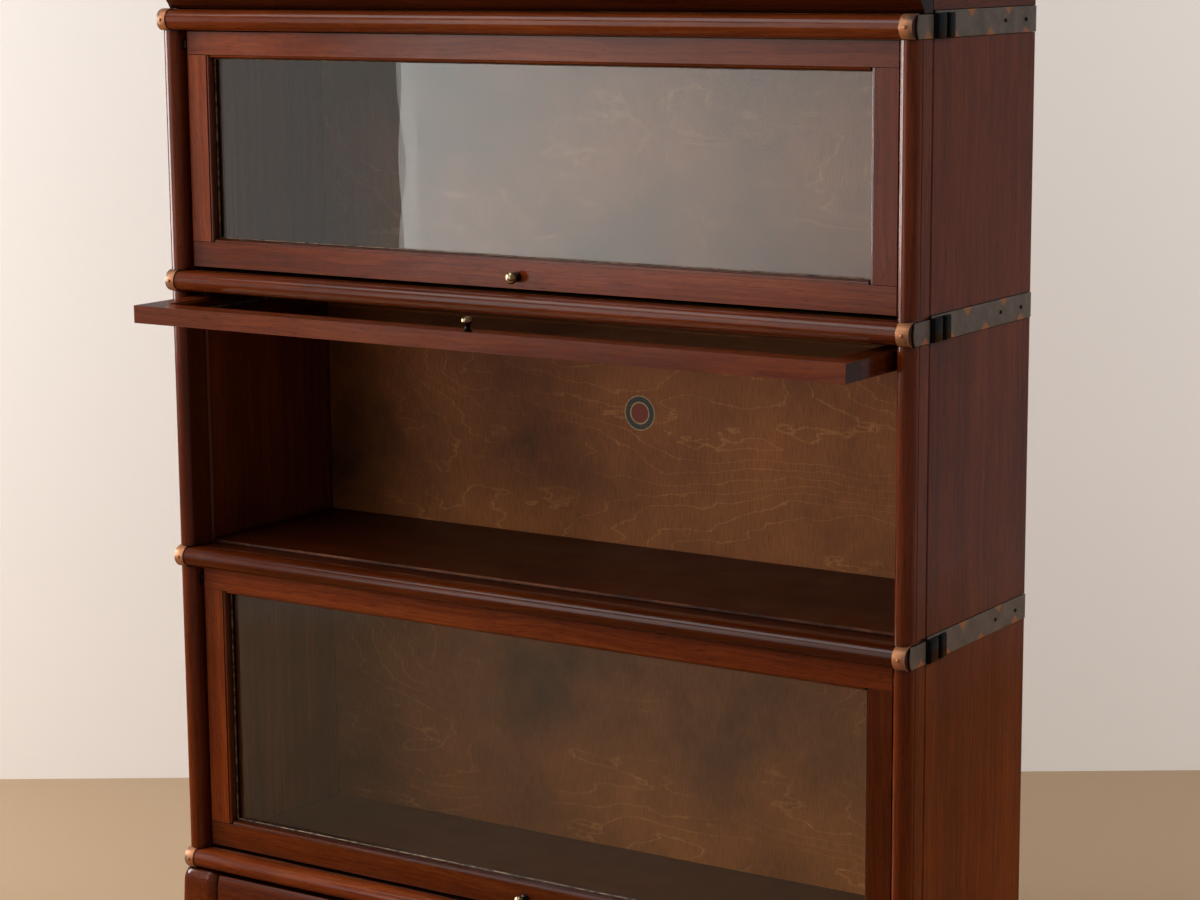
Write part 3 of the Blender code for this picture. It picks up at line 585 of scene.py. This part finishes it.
# Boards: every wooden piece, eased, with its own run of grain.
boards = {
    "doorEaseMm": 0.2,
    "boardEaseMm": 0.8,
    "footEaseMm": 5.0,
    "endTone": 0.3,  # end grain drinks more stain and goes dark
    "mouldingShade": 0.4,  # painted shade: the moulding round the glass is darkened, as it lies in shade
    "tones": {
        "section2_front_rail": 0.5,
        "section3_front_rail": 1.15,
        "section1_door_stile_left": 1.35,
        "section3_door_top_rail": 0.85,
        "section3_door_bottom_rail": 0.6,
        "section3_door_stile_right": 0.55,
        "section2_door_bottom_rail": 0.85,
        "section2_door_stile_right": 0.45,
        "section3_side_right": 1.05,
        "drawer_front": 0.75,
    },
    "upright": ("side_left", "side_right", "stile_left", "stile_right"),
    "foreAndAft": ("section2_door_stile", "crown_side", "base_side", "drawer_side"),
    "inner": ("drawer_back", "drawer_side_left", "drawer_side_right", "base_back"),
    "notWood": ("band_left", "band_right", "knob", "glass", "hinge_rod"),
}


def layGrain(piece, along, seed, tone=1.0, endTone=1.0, toGlass=Vector()):
    # Each board keeps its own place in the figure: first axis along the grain.
    order = {"x": (0, 1, 2), "y": (1, 0, 2), "z": (2, 1, 0)}[along]
    shift = Vector((seed * 0.731 % 3, seed * 0.417 % 2, seed * 0.293 % 2))
    places = piece.data.attributes.new("grain", "FLOAT_VECTOR", "POINT")
    for i, vertex in enumerate(piece.data.vertices):
        places.data[i].vector = Vector([vertex.co[k] for k in order]) + shift
    tones = piece.data.attributes.new("boardTone", "FLOAT", "FACE")
    for i, face in enumerate(piece.data.polygons):
        faceTone = endTone if abs(face.normal[order[0]]) > 0.7 else 1.0
        # Painted shade: faces that turn towards the pane, the moulding round the glass, are darkened.
        if face.normal.dot(toGlass) > 0.3:
            faceTone = boards["mouldingShade"]
        tones.data[i].value = tone * faceTone


def softenCopy(nodeName, edgeMm, segments=2):
    # A copy of the CAD piece with its arrises eased, which is what the eye catches on real work.
    bm = nodeCopy(nodeName)
    # Only outside corners are eased: a filled inside corner would foul the shoes that run in the grooves.
    easeEdges(bm, 35, edgeMm, segments, outsideOnly=True)
    bmesh.ops.triangulate(bm, faces=[f for f in bm.faces if len(f.verts) > 4])
    piece = finishMesh(bm, nodeName + "_shown")
    # Broad faces stay flat to the eye, and only the eased edges turn.
    flatten = piece.modifiers.new("flatFaces", "WEIGHTED_NORMAL")
    flatten.keep_sharp = True
    flatten.weight = 80
    return piece


def towardsGlass(name):
    # Which way the pane lies from a door's rail or stile: one of the six axis directions.
    glass = name.split("_")[0] + "_door_glass"
    offset = sum(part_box(glass), Vector()) - sum(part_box(name), Vector())
    reach = [abs(c) for c in offset]
    longest = reach.index(max(reach))
    toGlass = Vector()
    toGlass[longest] = math.copysign(1.0, offset[longest])
    return toGlass


def woodOf(name):
    if name.endswith("back_panel") or name == "drawer_bottom":
        return backBoard
    if name.endswith("_shelf") or name in boards["inner"]:
        return innerWood
    if name in ("crown_cornice", "crown_top"):
        return crownWoodShaded
    if "_door_" in name:
        return frameWood
    if name.endswith(("side_left", "side_right")) and not name.startswith("base_side"):
        return sideWood
    return showWood


for number, name in enumerate(sorted(nodes)):
    if name.endswith(boards["notWood"]):
        continue
    isFoot = name.startswith("base_side")
    isDoor = "_door_" in name
    if isFoot:
        piece = softenCopy(name, boards["footEaseMm"], 4)
    else:
        piece = softenCopy(name, boards["doorEaseMm"] if isDoor else boards["boardEaseMm"])
    along = "x"
    if name.startswith(boards["foreAndAft"]):
        along = "y"
    elif name.endswith(boards["upright"]):
        along = "z"
    endTone = 1.0 if isFoot else boards["endTone"]
    toGlass = towardsGlass(name) if isDoor else Vector()
    layGrain(piece, along, number, boards["tones"].get(name, 1.0), endTone, toGlass)
    wood = woodOf(name)
    slotName = "stained_plywood" if wood == backBoard else "polished_mahogany"
    fitPiece(piece, nodes[name]["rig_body"], wood, slotName, name)
print("boards laid")


def markScrapes(piece, lowMarks, highMarks, front):
    # Copper shows in small triangles along the strip's two edges.
    mesh = piece.data
    low = min(v.co.z for v in mesh.vertices)
    high = max(v.co.z for v in mesh.vertices)
    scrape = mesh.attributes.new("scrape", "FLOAT", "POINT")
    for i, vertex in enumerate(mesh.vertices):
        y = (vertex.co.y - front) / mm
        value = 0.0
        for marks, edge in ((lowMarks, low), (highMarks, high)):
            for mark in marks:
                reach = 1 - abs(y - mark) / (banding["markWidthMm"] / 2)
                rise = abs(vertex.co.z - edge) / mm / banding["markHeightMm"]
                value = max(value, min(1.0, 0.5 + 2.2 * (reach - rise)))
        scrape.data[i].value = max(0.0, value)


def stripMesh(nodeName):
    # The strip's outline again, cut fine enough to carry its scrapes, with eased edges.
    bm = nodeCopy(nodeName)
    easeEdges(bm, 60, banding["easeMm"])
    low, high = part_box(nodeName)
    for axis, normal in ((1, (0, 1, 0)), (2, (0, 0, 1))):
        count = int((high[axis] - low[axis]) / (banding["stepMm"] * mm))
        for i in range(1, count):
            point = [0.0, 0.0, 0.0]
            point[axis] = low[axis] + (high[axis] - low[axis]) * i / count
            geometry = bm.verts[:] + bm.edges[:] + bm.faces[:]
            bmesh.ops.bisect_plane(bm, geom=geometry, plane_co=point, plane_no=normal)
    return finishMesh(bm, nodeName + "_shown")


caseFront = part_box("section1_band_right")[0].y + banding["overhangMm"] * mm
for name in sorted(nodes):
    if name.endswith(("band_left", "band_right")):
        piece = stripMesh(name)
        markScrapes(piece, banding["lowMarksMm"], banding["highMarksMm"], caseFront)
        fitPiece(piece, "case", strip, "side_banding", name)
print("strips fitted")

for section in sectionNames:
    rod = nodes[section + "_hinge_rod"]
    rod.data.materials.clear()
    rod.data.materials.append(rodSteel)
print("rods set")


def throughPoints(points, steps=5):
    # A smooth line through given points, for turned outlines.
    line = []
    for i in range(len(points) - 1):
        around = (max(0, min(len(points) - 1, i + k)) for k in (-1, 0, 1, 2))
        before, start, end, after = (Vector(points[k]) for k in around)
        for step in range(steps):
            t = step / steps
            line.append(
                0.5
                * (
                    2 * start
                    + (end - before) * t
                    + (2 * before - 5 * start + 4 * end - after) * t * t
                    + (3 * start - before - 3 * end + after) * t * t * t
                )
            )
    line.append(Vector(points[-1]))
    return line


def turn(bm, outline, matrix, steps):
    # Spins (radius, height) points in millimetres about the matrix's own Z.
    rings = []
    for radius, height in outline:
        if radius < 0.001:
            rings.append([bm.verts.new(matrix @ Vector((0, 0, height * mm)))])
            continue
        ring = []
        for i in range(steps):
            angle = 2 * math.pi * i / steps
            spot = Vector((radius * math.cos(angle), radius * math.sin(angle), height)) * mm
            ring.append(bm.verts.new(matrix @ spot))
        rings.append(ring)
    skin(bm, rings)
    if len(rings[0]) > 1:
        bm.faces.new(list(reversed(rings[0])))


def facing(spot, out):
    # A frame at spot whose Z points out.
    return Matrix.Translation(spot) @ Vector(out).to_track_quat("Z", "Y").to_matrix().to_4x4()


def setScrape(piece, valueAt):
    scrape = piece.data.attributes.new("scrape", "FLOAT", "POINT")
    for i, vertex in enumerate(piece.data.vertices):
        scrape.data[i].value = valueAt(vertex.co)


# Door furniture in each door's own frame: X across, Y up the door, Z out of its face.
doorDetail = {
    "lapMm": 5.7,  # how far the glass runs behind the frame's sight line
    "puttyMm": 0.65,
    "puttyWobbleMm": 0.3,
    "glassMm": 3.0,
    "beadGapMm": 0.1,
    "beadInMm": 0.2,  # the bead's sight edge, behind the frame
    "beadOutMm": 5.4,
    "beadDepthMm": 4.5,
    "beadRadiusMm": 2.6,
    "beadTone": 0.28,
}


def doorFrame(section):
    low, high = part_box(section + "_door_glass")
    half = (high - low) / 2
    middle = (high + low) / 2
    if half.y > half.z:  # this door lies level
        return Matrix.Translation((middle.x, middle.y, high.z)), half.x, half.y
    upright = Matrix.Rotation(math.pi / 2, 4, "X")
    return Matrix.Translation((middle.x, low.y, middle.z)) @ upright, half.x, half.z


def frameRun(name, matrix, halfWidth, halfHeight, outline, wobbleMm=0.0, steps=1):
    # Carries a closed outline of (inset, out) millimetres round a rectangle, mitred at its corners.
    bm = bmesh.new()
    corners = ((-1, -1), (1, -1), (1, 1), (-1, 1))
    rings = []
    for k in range(4):
        (ax, ay), (bx, by) = corners[k], corners[(k + 1) % 4]
        for step in range(steps):
            t = step / steps
            u = ax + (bx - ax) * t
            v = ay + (by - ay) * t
            ring = []
            for inset, out in outline:
                inward = 0.0
                if inset > 0 and 0 < t < 1:
                    inward = noise.noise(Vector((u * 90, v * 30, inset))) * wobbleMm
                x = u * (halfWidth - (inset + inward * (bx == ax)) * mm)
                y = v * (halfHeight - (inset + inward * (by == ay)) * mm)
                ring.append(bm.verts.new(matrix @ Vector((x, y, out * mm))))
            rings.append(ring)
    skin(bm, rings + rings[:1])
    bmesh.ops.recalc_face_normals(bm, faces=bm.faces)
    return finishMesh(bm, name, 30)


# Panes with the slow waves of drawn sheet glass in their surface.
pane = {"across": 110, "up": 34, "waveMm": 55.0, "stretch": 0.6, "waveDepthMm": 0.035}


def wavyPane(section):
    matrix, halfWidth, halfHeight = doorFrame(section)
    low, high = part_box(section + "_door_glass")
    bm = bmesh.new()
    faces = []
    for out, turnOver in ((0.0, False), (-doorDetail["glassMm"], True)):
        grid = []
        for j in range(pane["up"] + 1):
            row = []
            for i in range(pane["across"] + 1):
                x = halfWidth * (2 * i / pane["across"] - 1)
                y = halfHeight * (2 * j / pane["up"] - 1)
                # The pane's own height sets which part of the noise it shows, so no two are alike.
                spot = Vector((x, y * pane["stretch"], low.z * 3)) * 1000 / pane["waveMm"]
                wave = (noise.noise(spot) - 1.0) * pane["waveDepthMm"] * (-1 if turnOver else 1)
                row.append(bm.verts.new(matrix @ Vector((x, y, (out + wave) * mm))))
            grid.append(row)
        faces.append(grid)
        for a, b in zip(grid, grid[1:]):
            for i in range(pane["across"]):
                ring = (a[i], a[i + 1], b[i + 1], b[i])
                bm.faces.new(ring[::-1] if turnOver else ring)

    def rimOf(grid):
        right = [row[-1] for row in grid[1:-1]]
        left = [row[0] for row in grid[1:-1]]
        return grid[0] + right + grid[-1][::-1] + left[::-1]

    front, rear = (rimOf(grid) for grid in faces)
    for i in range(len(front)):
        j = (i + 1) % len(front)
        bm.faces.new((front[j], front[i], rear[i], rear[j]))
    sheet = finishMesh(bm, section + "_pane")
    fitPiece(sheet, section + "_door", paneGlass, "door_glass", section + "_door_glass")


def beadOutline():
    # A quarter-round bead behind the glass, rounded towards the inside of the case.
    back = -doorDetail["glassMm"] - doorDetail["beadGapMm"]
    deep = back - doorDetail["beadDepthMm"]
    inner = -doorDetail["beadInMm"]
    outer = -doorDetail["beadOutMm"]
    radius = doorDetail["beadRadiusMm"]
    quarter = [
        (inner - radius * (1 - math.cos(a)), deep + radius * (1 - math.sin(a)))
        for a in (0, 0.4, 0.8, 1.2, math.pi / 2)
    ]
    return [(outer, back), (inner, back)] + quarter + [(outer, deep)]


puttyWide = doorDetail["puttyMm"]
puttyOutline = ((0.05, 0.05), (puttyWide, 0.05), (puttyWide * 0.9, 0.35), (0.05, 1.5))
for number, section in enumerate(sectionNames):
    wavyPane(section)
    door = section + "_door"
    matrix, halfWidth, halfHeight = doorFrame(section)
    lap = doorDetail["lapMm"] * mm
    sight = (matrix, halfWidth - lap, halfHeight - lap)
    line = frameRun(section + "_putty_line", *sight, puttyOutline, doorDetail["puttyWobbleMm"], 90)
    fitPiece(line, door, putty, "door_glass")
    bead = frameRun(section + "_glazing_bead", *sight, beadOutline())
    layGrain(bead, "x", 70 + number, doorDetail["beadTone"])
    fitPiece(bead, door, frameWood, "polished_mahogany")
print("glazing done")

# Knobs, turned: a small rose, a waist and a round head, rubbed bright from rubbedMm outwards.
knobDetail = {"standsMm": 14, "rubbedMm": 5.5, "fadeMm": 6, "steps": 48}
knobOutline = throughPoints(
    [(4.8, 0.05), (4.85, 0.8), (3.7, 1.5), (2.7, 2.6), (2.5, 4.2), (2.9, 5.6), (4.6, 6.7), (5.8, 8.2)]
    + [(6.0, 9.8), (5.5, 11.6), (4.1, 12.9), (2.2, 13.7), (0.0, 13.95)]
)
for unit in sectionNames + ("drawer",):
    body = "drawer" if unit == "drawer" else unit + "_door"
    nodeName = body + "_knob"
    low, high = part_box(nodeName)
    middle = (low + high) / 2
    stands = knobDetail["standsMm"] * mm
    face = Vector((middle.x, low.y + stands, middle.z))
    out = Vector((0, -1, 0))
    if high.z - low.z > high.y - low.y:  # on the door that lies level, it stands up
        face = Vector((middle.x, middle.y, high.z - stands))
        out = Vector((0, 0, 1))
    bm = bmesh.new()
    turn(bm, knobOutline, facing(face, out), knobDetail["steps"])
    knob = finishMesh(bm, nodeName + "_turned")

    def rubbedAt(spot):
        height = (spot - face).dot(out) / mm
        return max(0.0, min(1.0, (height - knobDetail["rubbedMm"]) / knobDetail["fadeMm"]))

    setScrape(knob, rubbedAt)
    fitPiece(knob, body, knobBrass, "knob_brass", nodeName)
print("knobs turned")

# Copper caps on the ends of every nosed rail, each held by one nail.
capDetail = {
    "thickMm": 0.8,
    "clearMm": 0.08,
    "lengthMm": {"left": 11.0, "right": 13.0},
    "setInMm": 0.2,
    "topWrapMm": 4.0,
    "wrapDegrees": 160,
    "steps": 16,
    "raggedMm": 0.5,  # the inner edge was snipped by hand
    "easeMm": 0.25,
    "nailMm": 1.7,
    "nailSinkMm": 0.05,
    "copper": 0.9,
    "rimCopper": 0.2,  # the outer rim is browned
    "rimMm": 1.2,
}
nailOutline = throughPoints([(1.0, 0.0), (1.0, 0.25), (0.82, 0.62), (0.45, 0.85), (0.0, 0.92)], 3)


def nailHead(bm, spot, out, radiusMm):
    turn(bm, [(r * radiusMm, h * radiusMm) for r, h in nailOutline], facing(spot, out), 20)


def railCap(unit, hand, sign):
    low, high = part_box(unit + "_front_rail")
    radius = (high.z - low.z) / 2
    middle = Vector((0, low.y + radius, low.z + radius))
    inner = radius + capDetail["clearMm"] * mm
    outer = inner + capDetail["thickMm"] * mm
    end = high.x - capDetail["setInMm"] * mm
    length = capDetail["lengthMm"][hand] * mm
    wrap = capDetail["topWrapMm"] * mm
    steps = capDetail["steps"]
    angles = [math.radians(90 + capDetail["wrapDegrees"] * i / steps) for i in range(steps + 1)]

    def shell(reach):
        line = [(middle.y + wrap, middle.z + reach)]
        return line + [(middle.y + reach * math.cos(a), middle.z + reach * math.sin(a)) for a in angles]

    outline = shell(outer) + shell(inner)[::-1]
    bm = bmesh.new()
    rings = []
    for k, x in enumerate((end, end - length * 0.5, end - length)):
        ring = []
        for y, z in outline:
            ragged = 0.0
            if k == 2:
                ragged = noise.noise(Vector((z * 400, y * 300, end * 50 + sign))) * capDetail["raggedMm"] * mm
            ring.append(bm.verts.new((sign * (x + ragged), y, z)))
        rings.append(ring)
    skin(bm, rings)
    count = len(outline)
    for ring in (rings[0], rings[-1]):
        for i in range(count // 2 - 1):
            bm.faces.new((ring[i], ring[i + 1], ring[count - 2 - i], ring[count - 1 - i]))
    bmesh.ops.recalc_face_normals(bm, faces=bm.faces)
    easeEdges(bm, 50, capDetail["easeMm"])
    nailAt = Vector((sign * (end - length * 0.5), middle.y - outer + capDetail["nailSinkMm"] * mm, middle.z))
    nailHead(bm, nailAt, (0, -1, 0), capDetail["nailMm"])
    piece = finishMesh(bm, f"{unit}_rail_cap_{hand}", 35)
    rimFrom = end - capDetail["rimMm"] * mm
    setScrape(piece, lambda spot: capDetail["copper"] if abs(spot.x) < rimFrom else capDetail["rimCopper"])
    fitPiece(piece, "case", copperCap, "side_banding")


# Black clips hook each unit down to the one below: two bent ribs over the strip.
clipDetail = {
    "ribs": ((29.0, 46.5, 3.9), (52.0, 65.0, 3.4)),  # start, end and height of each rib
    "footMm": (27.5, 67.2),
    "leafMm": 0.9,
    "cornerMm": 2.2,
    "slopeMm": 0.6,
    "clearMm": 0.1,
    "aboveBottomMm": 0.3,
    "belowTopMm": 2.0,
}


def ribOutline():
    # (setback, stand-off) points along the clip, out from the strip's face.
    leaf = clipDetail["leafMm"]
    corner = clipDetail["cornerMm"]
    slope = clipDetail["slopeMm"]
    first, last = clipDetail["footMm"]
    quarter = [math.pi / 2 * a / 4 for a in range(5)]
    line = [(first, 0.0), (first + 0.2, leaf)]
    for start, end, high in clipDetail["ribs"]:
        line.append((start - slope, leaf))
        for angle in quarter:
            line.append((start + corner * (1 - math.cos(angle)), high - corner * (1 - math.sin(angle))))
        for angle in reversed(quarter):
            line.append((end - corner * (1 - math.cos(angle)), high - corner * (1 - math.sin(angle))))
        line.append((end + slope, leaf))
    return line + [(last - 0.2, leaf), (last, 0.0)]


def bandClip(unit, hand, sign):
    low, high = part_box(f"{unit}_band_{hand}")
    face = max(abs(low.x), abs(high.x)) + clipDetail["clearMm"] * mm
    front = low.y + banding["overhangMm"] * mm
    bottom = low.z + clipDetail["aboveBottomMm"] * mm
    top = high.z - clipDetail["belowTopMm"] * mm
    # Heights up the clip, and how much of each rib stands out there: both ends are drawn in.
    levels = ((bottom, 0.8), (bottom + 1.2 * mm, 1.0))
    levels += ((top - 1.6 * mm, 1.0), (top - 0.4 * mm, 0.85), (top, 0.6))
    bm = bmesh.new()
    rings = []
    for z, draw in levels:
        ring = [(sign * (face + out * draw * mm), front + back * mm, z) for back, out in ribOutline()]
        rings.append([bm.verts.new(point) for point in ring])
    skin(bm, rings)
    for ring in (rings[0], rings[-1]):
        bmesh.ops.triangulate(bm, faces=[bm.faces.new(ring)])
    bmesh.ops.recalc_face_normals(bm, faces=bm.faces)
    fitPiece(finishMesh(bm, f"{unit}_clip_{hand}", 45), "case", clipBlack, "rod_steel")


stripNails = {"fromRearMm": (23.0, 67.0), "radiusMm": 1.9}
for unit in ("crown",) + sectionNames:
    for hand, sign in sides:
        railCap(unit, hand, sign)
        bandClip(unit, hand, sign)
        low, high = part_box(f"{unit}_band_{hand}")
        face = max(abs(low.x), abs(high.x))
        bm = bmesh.new()
        for setback in stripNails["fromRearMm"]:
            spot = Vector((sign * face, high.y - setback * mm, (low.z + high.z) / 2))
            nailHead(bm, spot, (sign, 0, 0), stripNails["radiusMm"])
        fitPiece(finishMesh(bm, f"{unit}_band_nails_{hand}"), "case", rodSteel, "rod_steel")
print("caps, clips and nails fitted")

# Screws round each back panel, slotted, each turned its own way.
backScrews = {"across": 5, "up": 3, "insetMm": 9.0, "radiusMm": 3.4, "slotMm": 0.45, "slotDeepMm": 0.7}
screwOutline = throughPoints([(1.0, 0.0), (0.98, 0.1), (0.7, 0.24), (0.35, 0.31), (0.0, 0.33)], 3)


def screwSpots(low, high):
    inset = backScrews["insetMm"] * mm
    spots = []
    for i in range(backScrews["across"]):
        x = low.x + inset + (high.x - low.x - 2 * inset) * i / (backScrews["across"] - 1)
        spots += [(x, low.z + inset), (x, high.z - inset)]
    if high.z - low.z > 100 * mm:  # the crown's panel is too low for screws up its ends
        for i in range(1, backScrews["up"]):
            z = low.z + inset + (high.z - low.z - 2 * inset) * i / backScrews["up"]
            spots += [(low.x + inset, z), (high.x - inset, z)]
    return spots


def screwHead(matrix):
    head = bmesh.new()
    radius = backScrews["radiusMm"]
    turn(head, [(r * radius, h * radius) for r, h in screwOutline], Matrix.Identity(4), 24)
    slot = backScrews["slotMm"] * mm
    for cut in (-slot * 1.2, -slot, slot, slot * 1.2):
        geometry = head.verts[:] + head.edges[:] + head.faces[:]
        bmesh.ops.bisect_plane(head, geom=geometry, plane_co=(cut, 0, 0), plane_no=(1, 0, 0))
    for vertex in head.verts:
        if abs(vertex.co.x) < slot * 1.05 and vertex.co.z > 0.2 * mm:
            vertex.co.z -= backScrews["slotDeepMm"] * mm
    bmesh.ops.transform(head, matrix=matrix, verts=head.verts)
    mesh = bpy.data.meshes.new("head")
    head.to_mesh(mesh)
    head.free()
    return mesh


for unit in ("crown",) + sectionNames:
    low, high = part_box(unit + "_back_panel")
    bm = bmesh.new()
    for x, z in screwSpots(low, high):
        turned = Matrix.Rotation((x * 7 + z * 13) % 3, 4, "Z")
        head = screwHead(facing(Vector((x, high.y, z)), (0, 1, 0)) @ turned)
        bm.from_mesh(head)
        bpy.data.meshes.remove(head)
    fitPiece(finishMesh(bm, unit + "_back_screws", 30), "case", rodSteel, "rod_steel")
print("back screwed on")

# A plain faded paper label inside the middle section.
label = {
    "acrossMm": -1.5,
    "aboveShelfMm": 141.0,
    "radiusMm": 18.5,
    "thickMm": 0.25,
    "sinkMm": 0.02,
    "rings": 24,
    "steps": 64,
}
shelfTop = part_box("section2_shelf")[1].z
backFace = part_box("section2_back_panel")[0].y
labelAt = (label["acrossMm"] * mm, backFace - label["sinkMm"] * mm, shelfTop + label["aboveShelfMm"] * mm)
centre = Vector(labelAt)
radius = label["radiusMm"]
bm = bmesh.new()
rim = [(radius * (1 - i / label["rings"]), label["thickMm"]) for i in range(label["rings"] + 1)]
turn(bm, [(radius, 0.0)] + rim, facing(centre, (0, -1, 0)), label["steps"])
disc = finishMesh(bm, "section2_label")
setScrape(disc, lambda spot: (spot - centre).length / (radius * mm))
fitPiece(disc, "case", labelPaper, "stained_plywood")
print("label stuck on")

# Camera, at the eye height and turn from which the case is usually shown.
view = {
    "azimuth": 33.175,
    "pitch": 10.04,
    "roll": -0.432,
    "lensMm": 85.5,
    "sensorMm": 36.0,
    "place": (1.5587, -2.3085, 1.1150),
}
camera = bpy.data.objects.new("camera", bpy.data.cameras.new("camera"))
bpy.context.scene.collection.objects.link(camera)
azimuth, pitch, roll = (math.radians(view[k]) for k in ("azimuth", "pitch", "roll"))
camera.matrix_world = (
    Matrix.Translation(view["place"])
    @ Matrix.Rotation(azimuth, 4, "Z")
    @ Matrix.Rotation(math.pi / 2 - pitch, 4, "X")
    @ Matrix.Rotation(roll, 4, "Z")
)
camera.data.lens = view["lensMm"]
camera.data.sensor_width = view["sensorMm"]
bpy.context.scene.camera = camera

# Room: a pale floor and a pale wall square to the eye, open from behind so that the back can be seen.
stage = {
    "wall": "#f6f2ee",
    "floor": "#b3987a",
    "wallRoughness": 0.9,
    "floorRoughness": 0.45,
    "specular": 0.2,
    "wallDistance": 3.755,
    "halfWidth": 5.0,
    "height": 4.0,
    "floorReach": 8.0,
}


def addCard(name, corners, roughness, openBehind=False):
    mesh = bpy.data.meshes.new(name + "Card")
    mesh.from_pydata(corners, [], [tuple(range(len(corners)))])
    card = bpy.data.objects.new(name + "Card", mesh)
    bpy.context.scene.collection.objects.link(card)
    card.visible_glossy = False  # polish and glass mirror the room below instead
    material, tree, shader = newMaterial(name + "Card")
    shader.inputs["Base Color"].default_value = toLinear(stage[name])
    shader.inputs["Roughness"].default_value = roughness
    shader.inputs["Specular IOR Level"].default_value = stage["specular"]
    if openBehind:
        clear = addNode(tree, "BsdfTransparent").outputs[0]
        behind = addNode(tree, "NewGeometry").outputs["Backfacing"]
        both = addNode(tree, "MixShader", {0: behind, 1: shader.outputs[0], 2: clear}).outputs[0]
        tree.links.new(both, tree.nodes["Material Output"].inputs["Surface"])
    mesh.materials.append(material)


ahead = Vector((-math.sin(azimuth), math.cos(azimuth), 0))
across = Vector((math.cos(azimuth), math.sin(azimuth), 0))
foot = Vector((view["place"][0], view["place"][1], 0)) + ahead * stage["wallDistance"]
leftEnd = foot - across * stage["halfWidth"]
rightEnd = foot + across * stage["halfWidth"]
lift = Vector((0, 0, stage["height"]))
reach = ahead * stage["floorReach"]
floorCorners = [leftEnd - reach, rightEnd - reach, rightEnd + reach, leftEnd + reach]
wallCorners = [leftEnd, rightEnd, rightEnd + lift, leftEnd + lift]
addCard("floor", floorCorners, stage["floorRoughness"])
addCard("wall", wallCorners, stage["wallRoughness"], openBehind=True)

# Lamps: where each stands, what it is aimed at, width and height in metres, watts, colour.
lamps = {
    "windowFront": ((-1.36, -2.62, 1.38), (-1.36, 0.0, 1.38), (1.45, 1.96), 22.5, "#fffdfa"),
    "roomWall": ((-3.35, -2.7, 1.35), (-3.35, 0.0, 1.35), (2.5, 2.2), 11.0, "#fff4ea"),
    "windowLeft": ((-2.2, -0.78, 1.05), (0.0, -0.25, 0.95), (1.05, 1.1), 54.0, "#ffffff"),
    "ceilingBounce": ((-1.2, -1.5, 3.0), (0.0, 0.0, 0.8), (2.0, 1.2), 26.0, "#ffffff"),
    "wallLeft": ((-2.6, 0.9, 1.6), (-1.8, 2.6, 0.9), (1.2, 2.0), 50.0, "#ffffff"),
    "wallRight": ((2.6, 0.9, 1.6), (1.6, 2.8, 0.9), (1.2, 2.0), 54.0, "#ffffff"),
}


def addLamp(name, spot, aim, size, watts, colour):
    light = bpy.data.lights.new(name, "AREA")
    light.shape = "RECTANGLE"
    light.size, light.size_y = size
    light.energy = watts
    light.color = toLinear(colour)[:3]
    lamp = bpy.data.objects.new(name, light)
    bpy.context.scene.collection.objects.link(lamp)
    lamp.location = spot
    lamp.rotation_euler = (Vector(aim) - Vector(spot)).to_track_quat("-Z", "Y").to_euler()
    lamp.visible_camera = False
    lamp.visible_glossy = name not in ("wallLeft", "wallRight")  # these two only light the wall


for name, values in lamps.items():
    addLamp(name, *values)

# The window is brightest at the side away from the case.
glow = {"bright": 1.4, "dim": 0.32}
window = bpy.data.lights["windowFront"]
window.use_nodes = True
tree = window.node_tree
spread = addNode(tree, "NewGeometry").outputs["Parametric"]
fromEdge = addNode(tree, "SeparateXYZ", {0: spread}).outputs[0]
strength = addNode(
    tree, "MapRange", {"Value": fromEdge, "To Min": glow["bright"], "To Max": glow["dim"]}
).outputs[0]
tree.links.new(strength, tree.nodes["Emission"].inputs["Strength"])

# The room as polish and glass mirror it: pale wall above, brown boards below. Seen straight, a pale backdrop.
room = {
    "above": "#f6f6f6",
    "below": "#8f5f3c",
    "backdrop": "#f2ece7",
    "skirting": (-0.235, -0.2),  # the sines between which a downward look passes from boards to wall
    "aboveStrength": 0.25,
    "belowStrength": 1.0,
    "backdropStrength": 0.8,
}
world = bpy.data.worlds.new("room")
bpy.context.scene.world = world
world.use_nodes = True
tree = world.node_tree
height = addNode(tree, "SeparateXYZ", {0: addNode(tree, "TexCoord").outputs["Generated"]}).outputs[2]
boardsEnd, wallStarts = room["skirting"]
above = addNode(tree, "MapRange", {"Value": height, "From Min": boardsEnd, "From Max": wallStarts}).outputs[0]
mirrored = addNode(
    tree, "Mix", {0: above, 6: toLinear(room["below"]), 7: toLinear(room["above"])}, data_type="RGBA"
).outputs[2]
straight = addNode(tree, "LightPath").outputs["Is Camera Ray"]
seen = addNode(
    tree, "Mix", {0: straight, 6: mirrored, 7: toLinear(room["backdrop"])}, data_type="RGBA"
).outputs[2]
tree.links.new(seen, tree.nodes["Background"].inputs["Color"])
mirroredStrength = addNode(
    tree, "MapRange", {"Value": above, "To Min": room["belowStrength"], "To Max": room["aboveStrength"]}
).outputs[0]
glowing = addNode(tree, "Mix", {0: straight, 2: mirroredStrength, 3: room["backdropStrength"]}).outputs[0]
tree.links.new(glowing, tree.nodes["Background"].inputs["Strength"])
bpy.context.scene.view_settings.view_transform = "Standard"
print("stage lit")
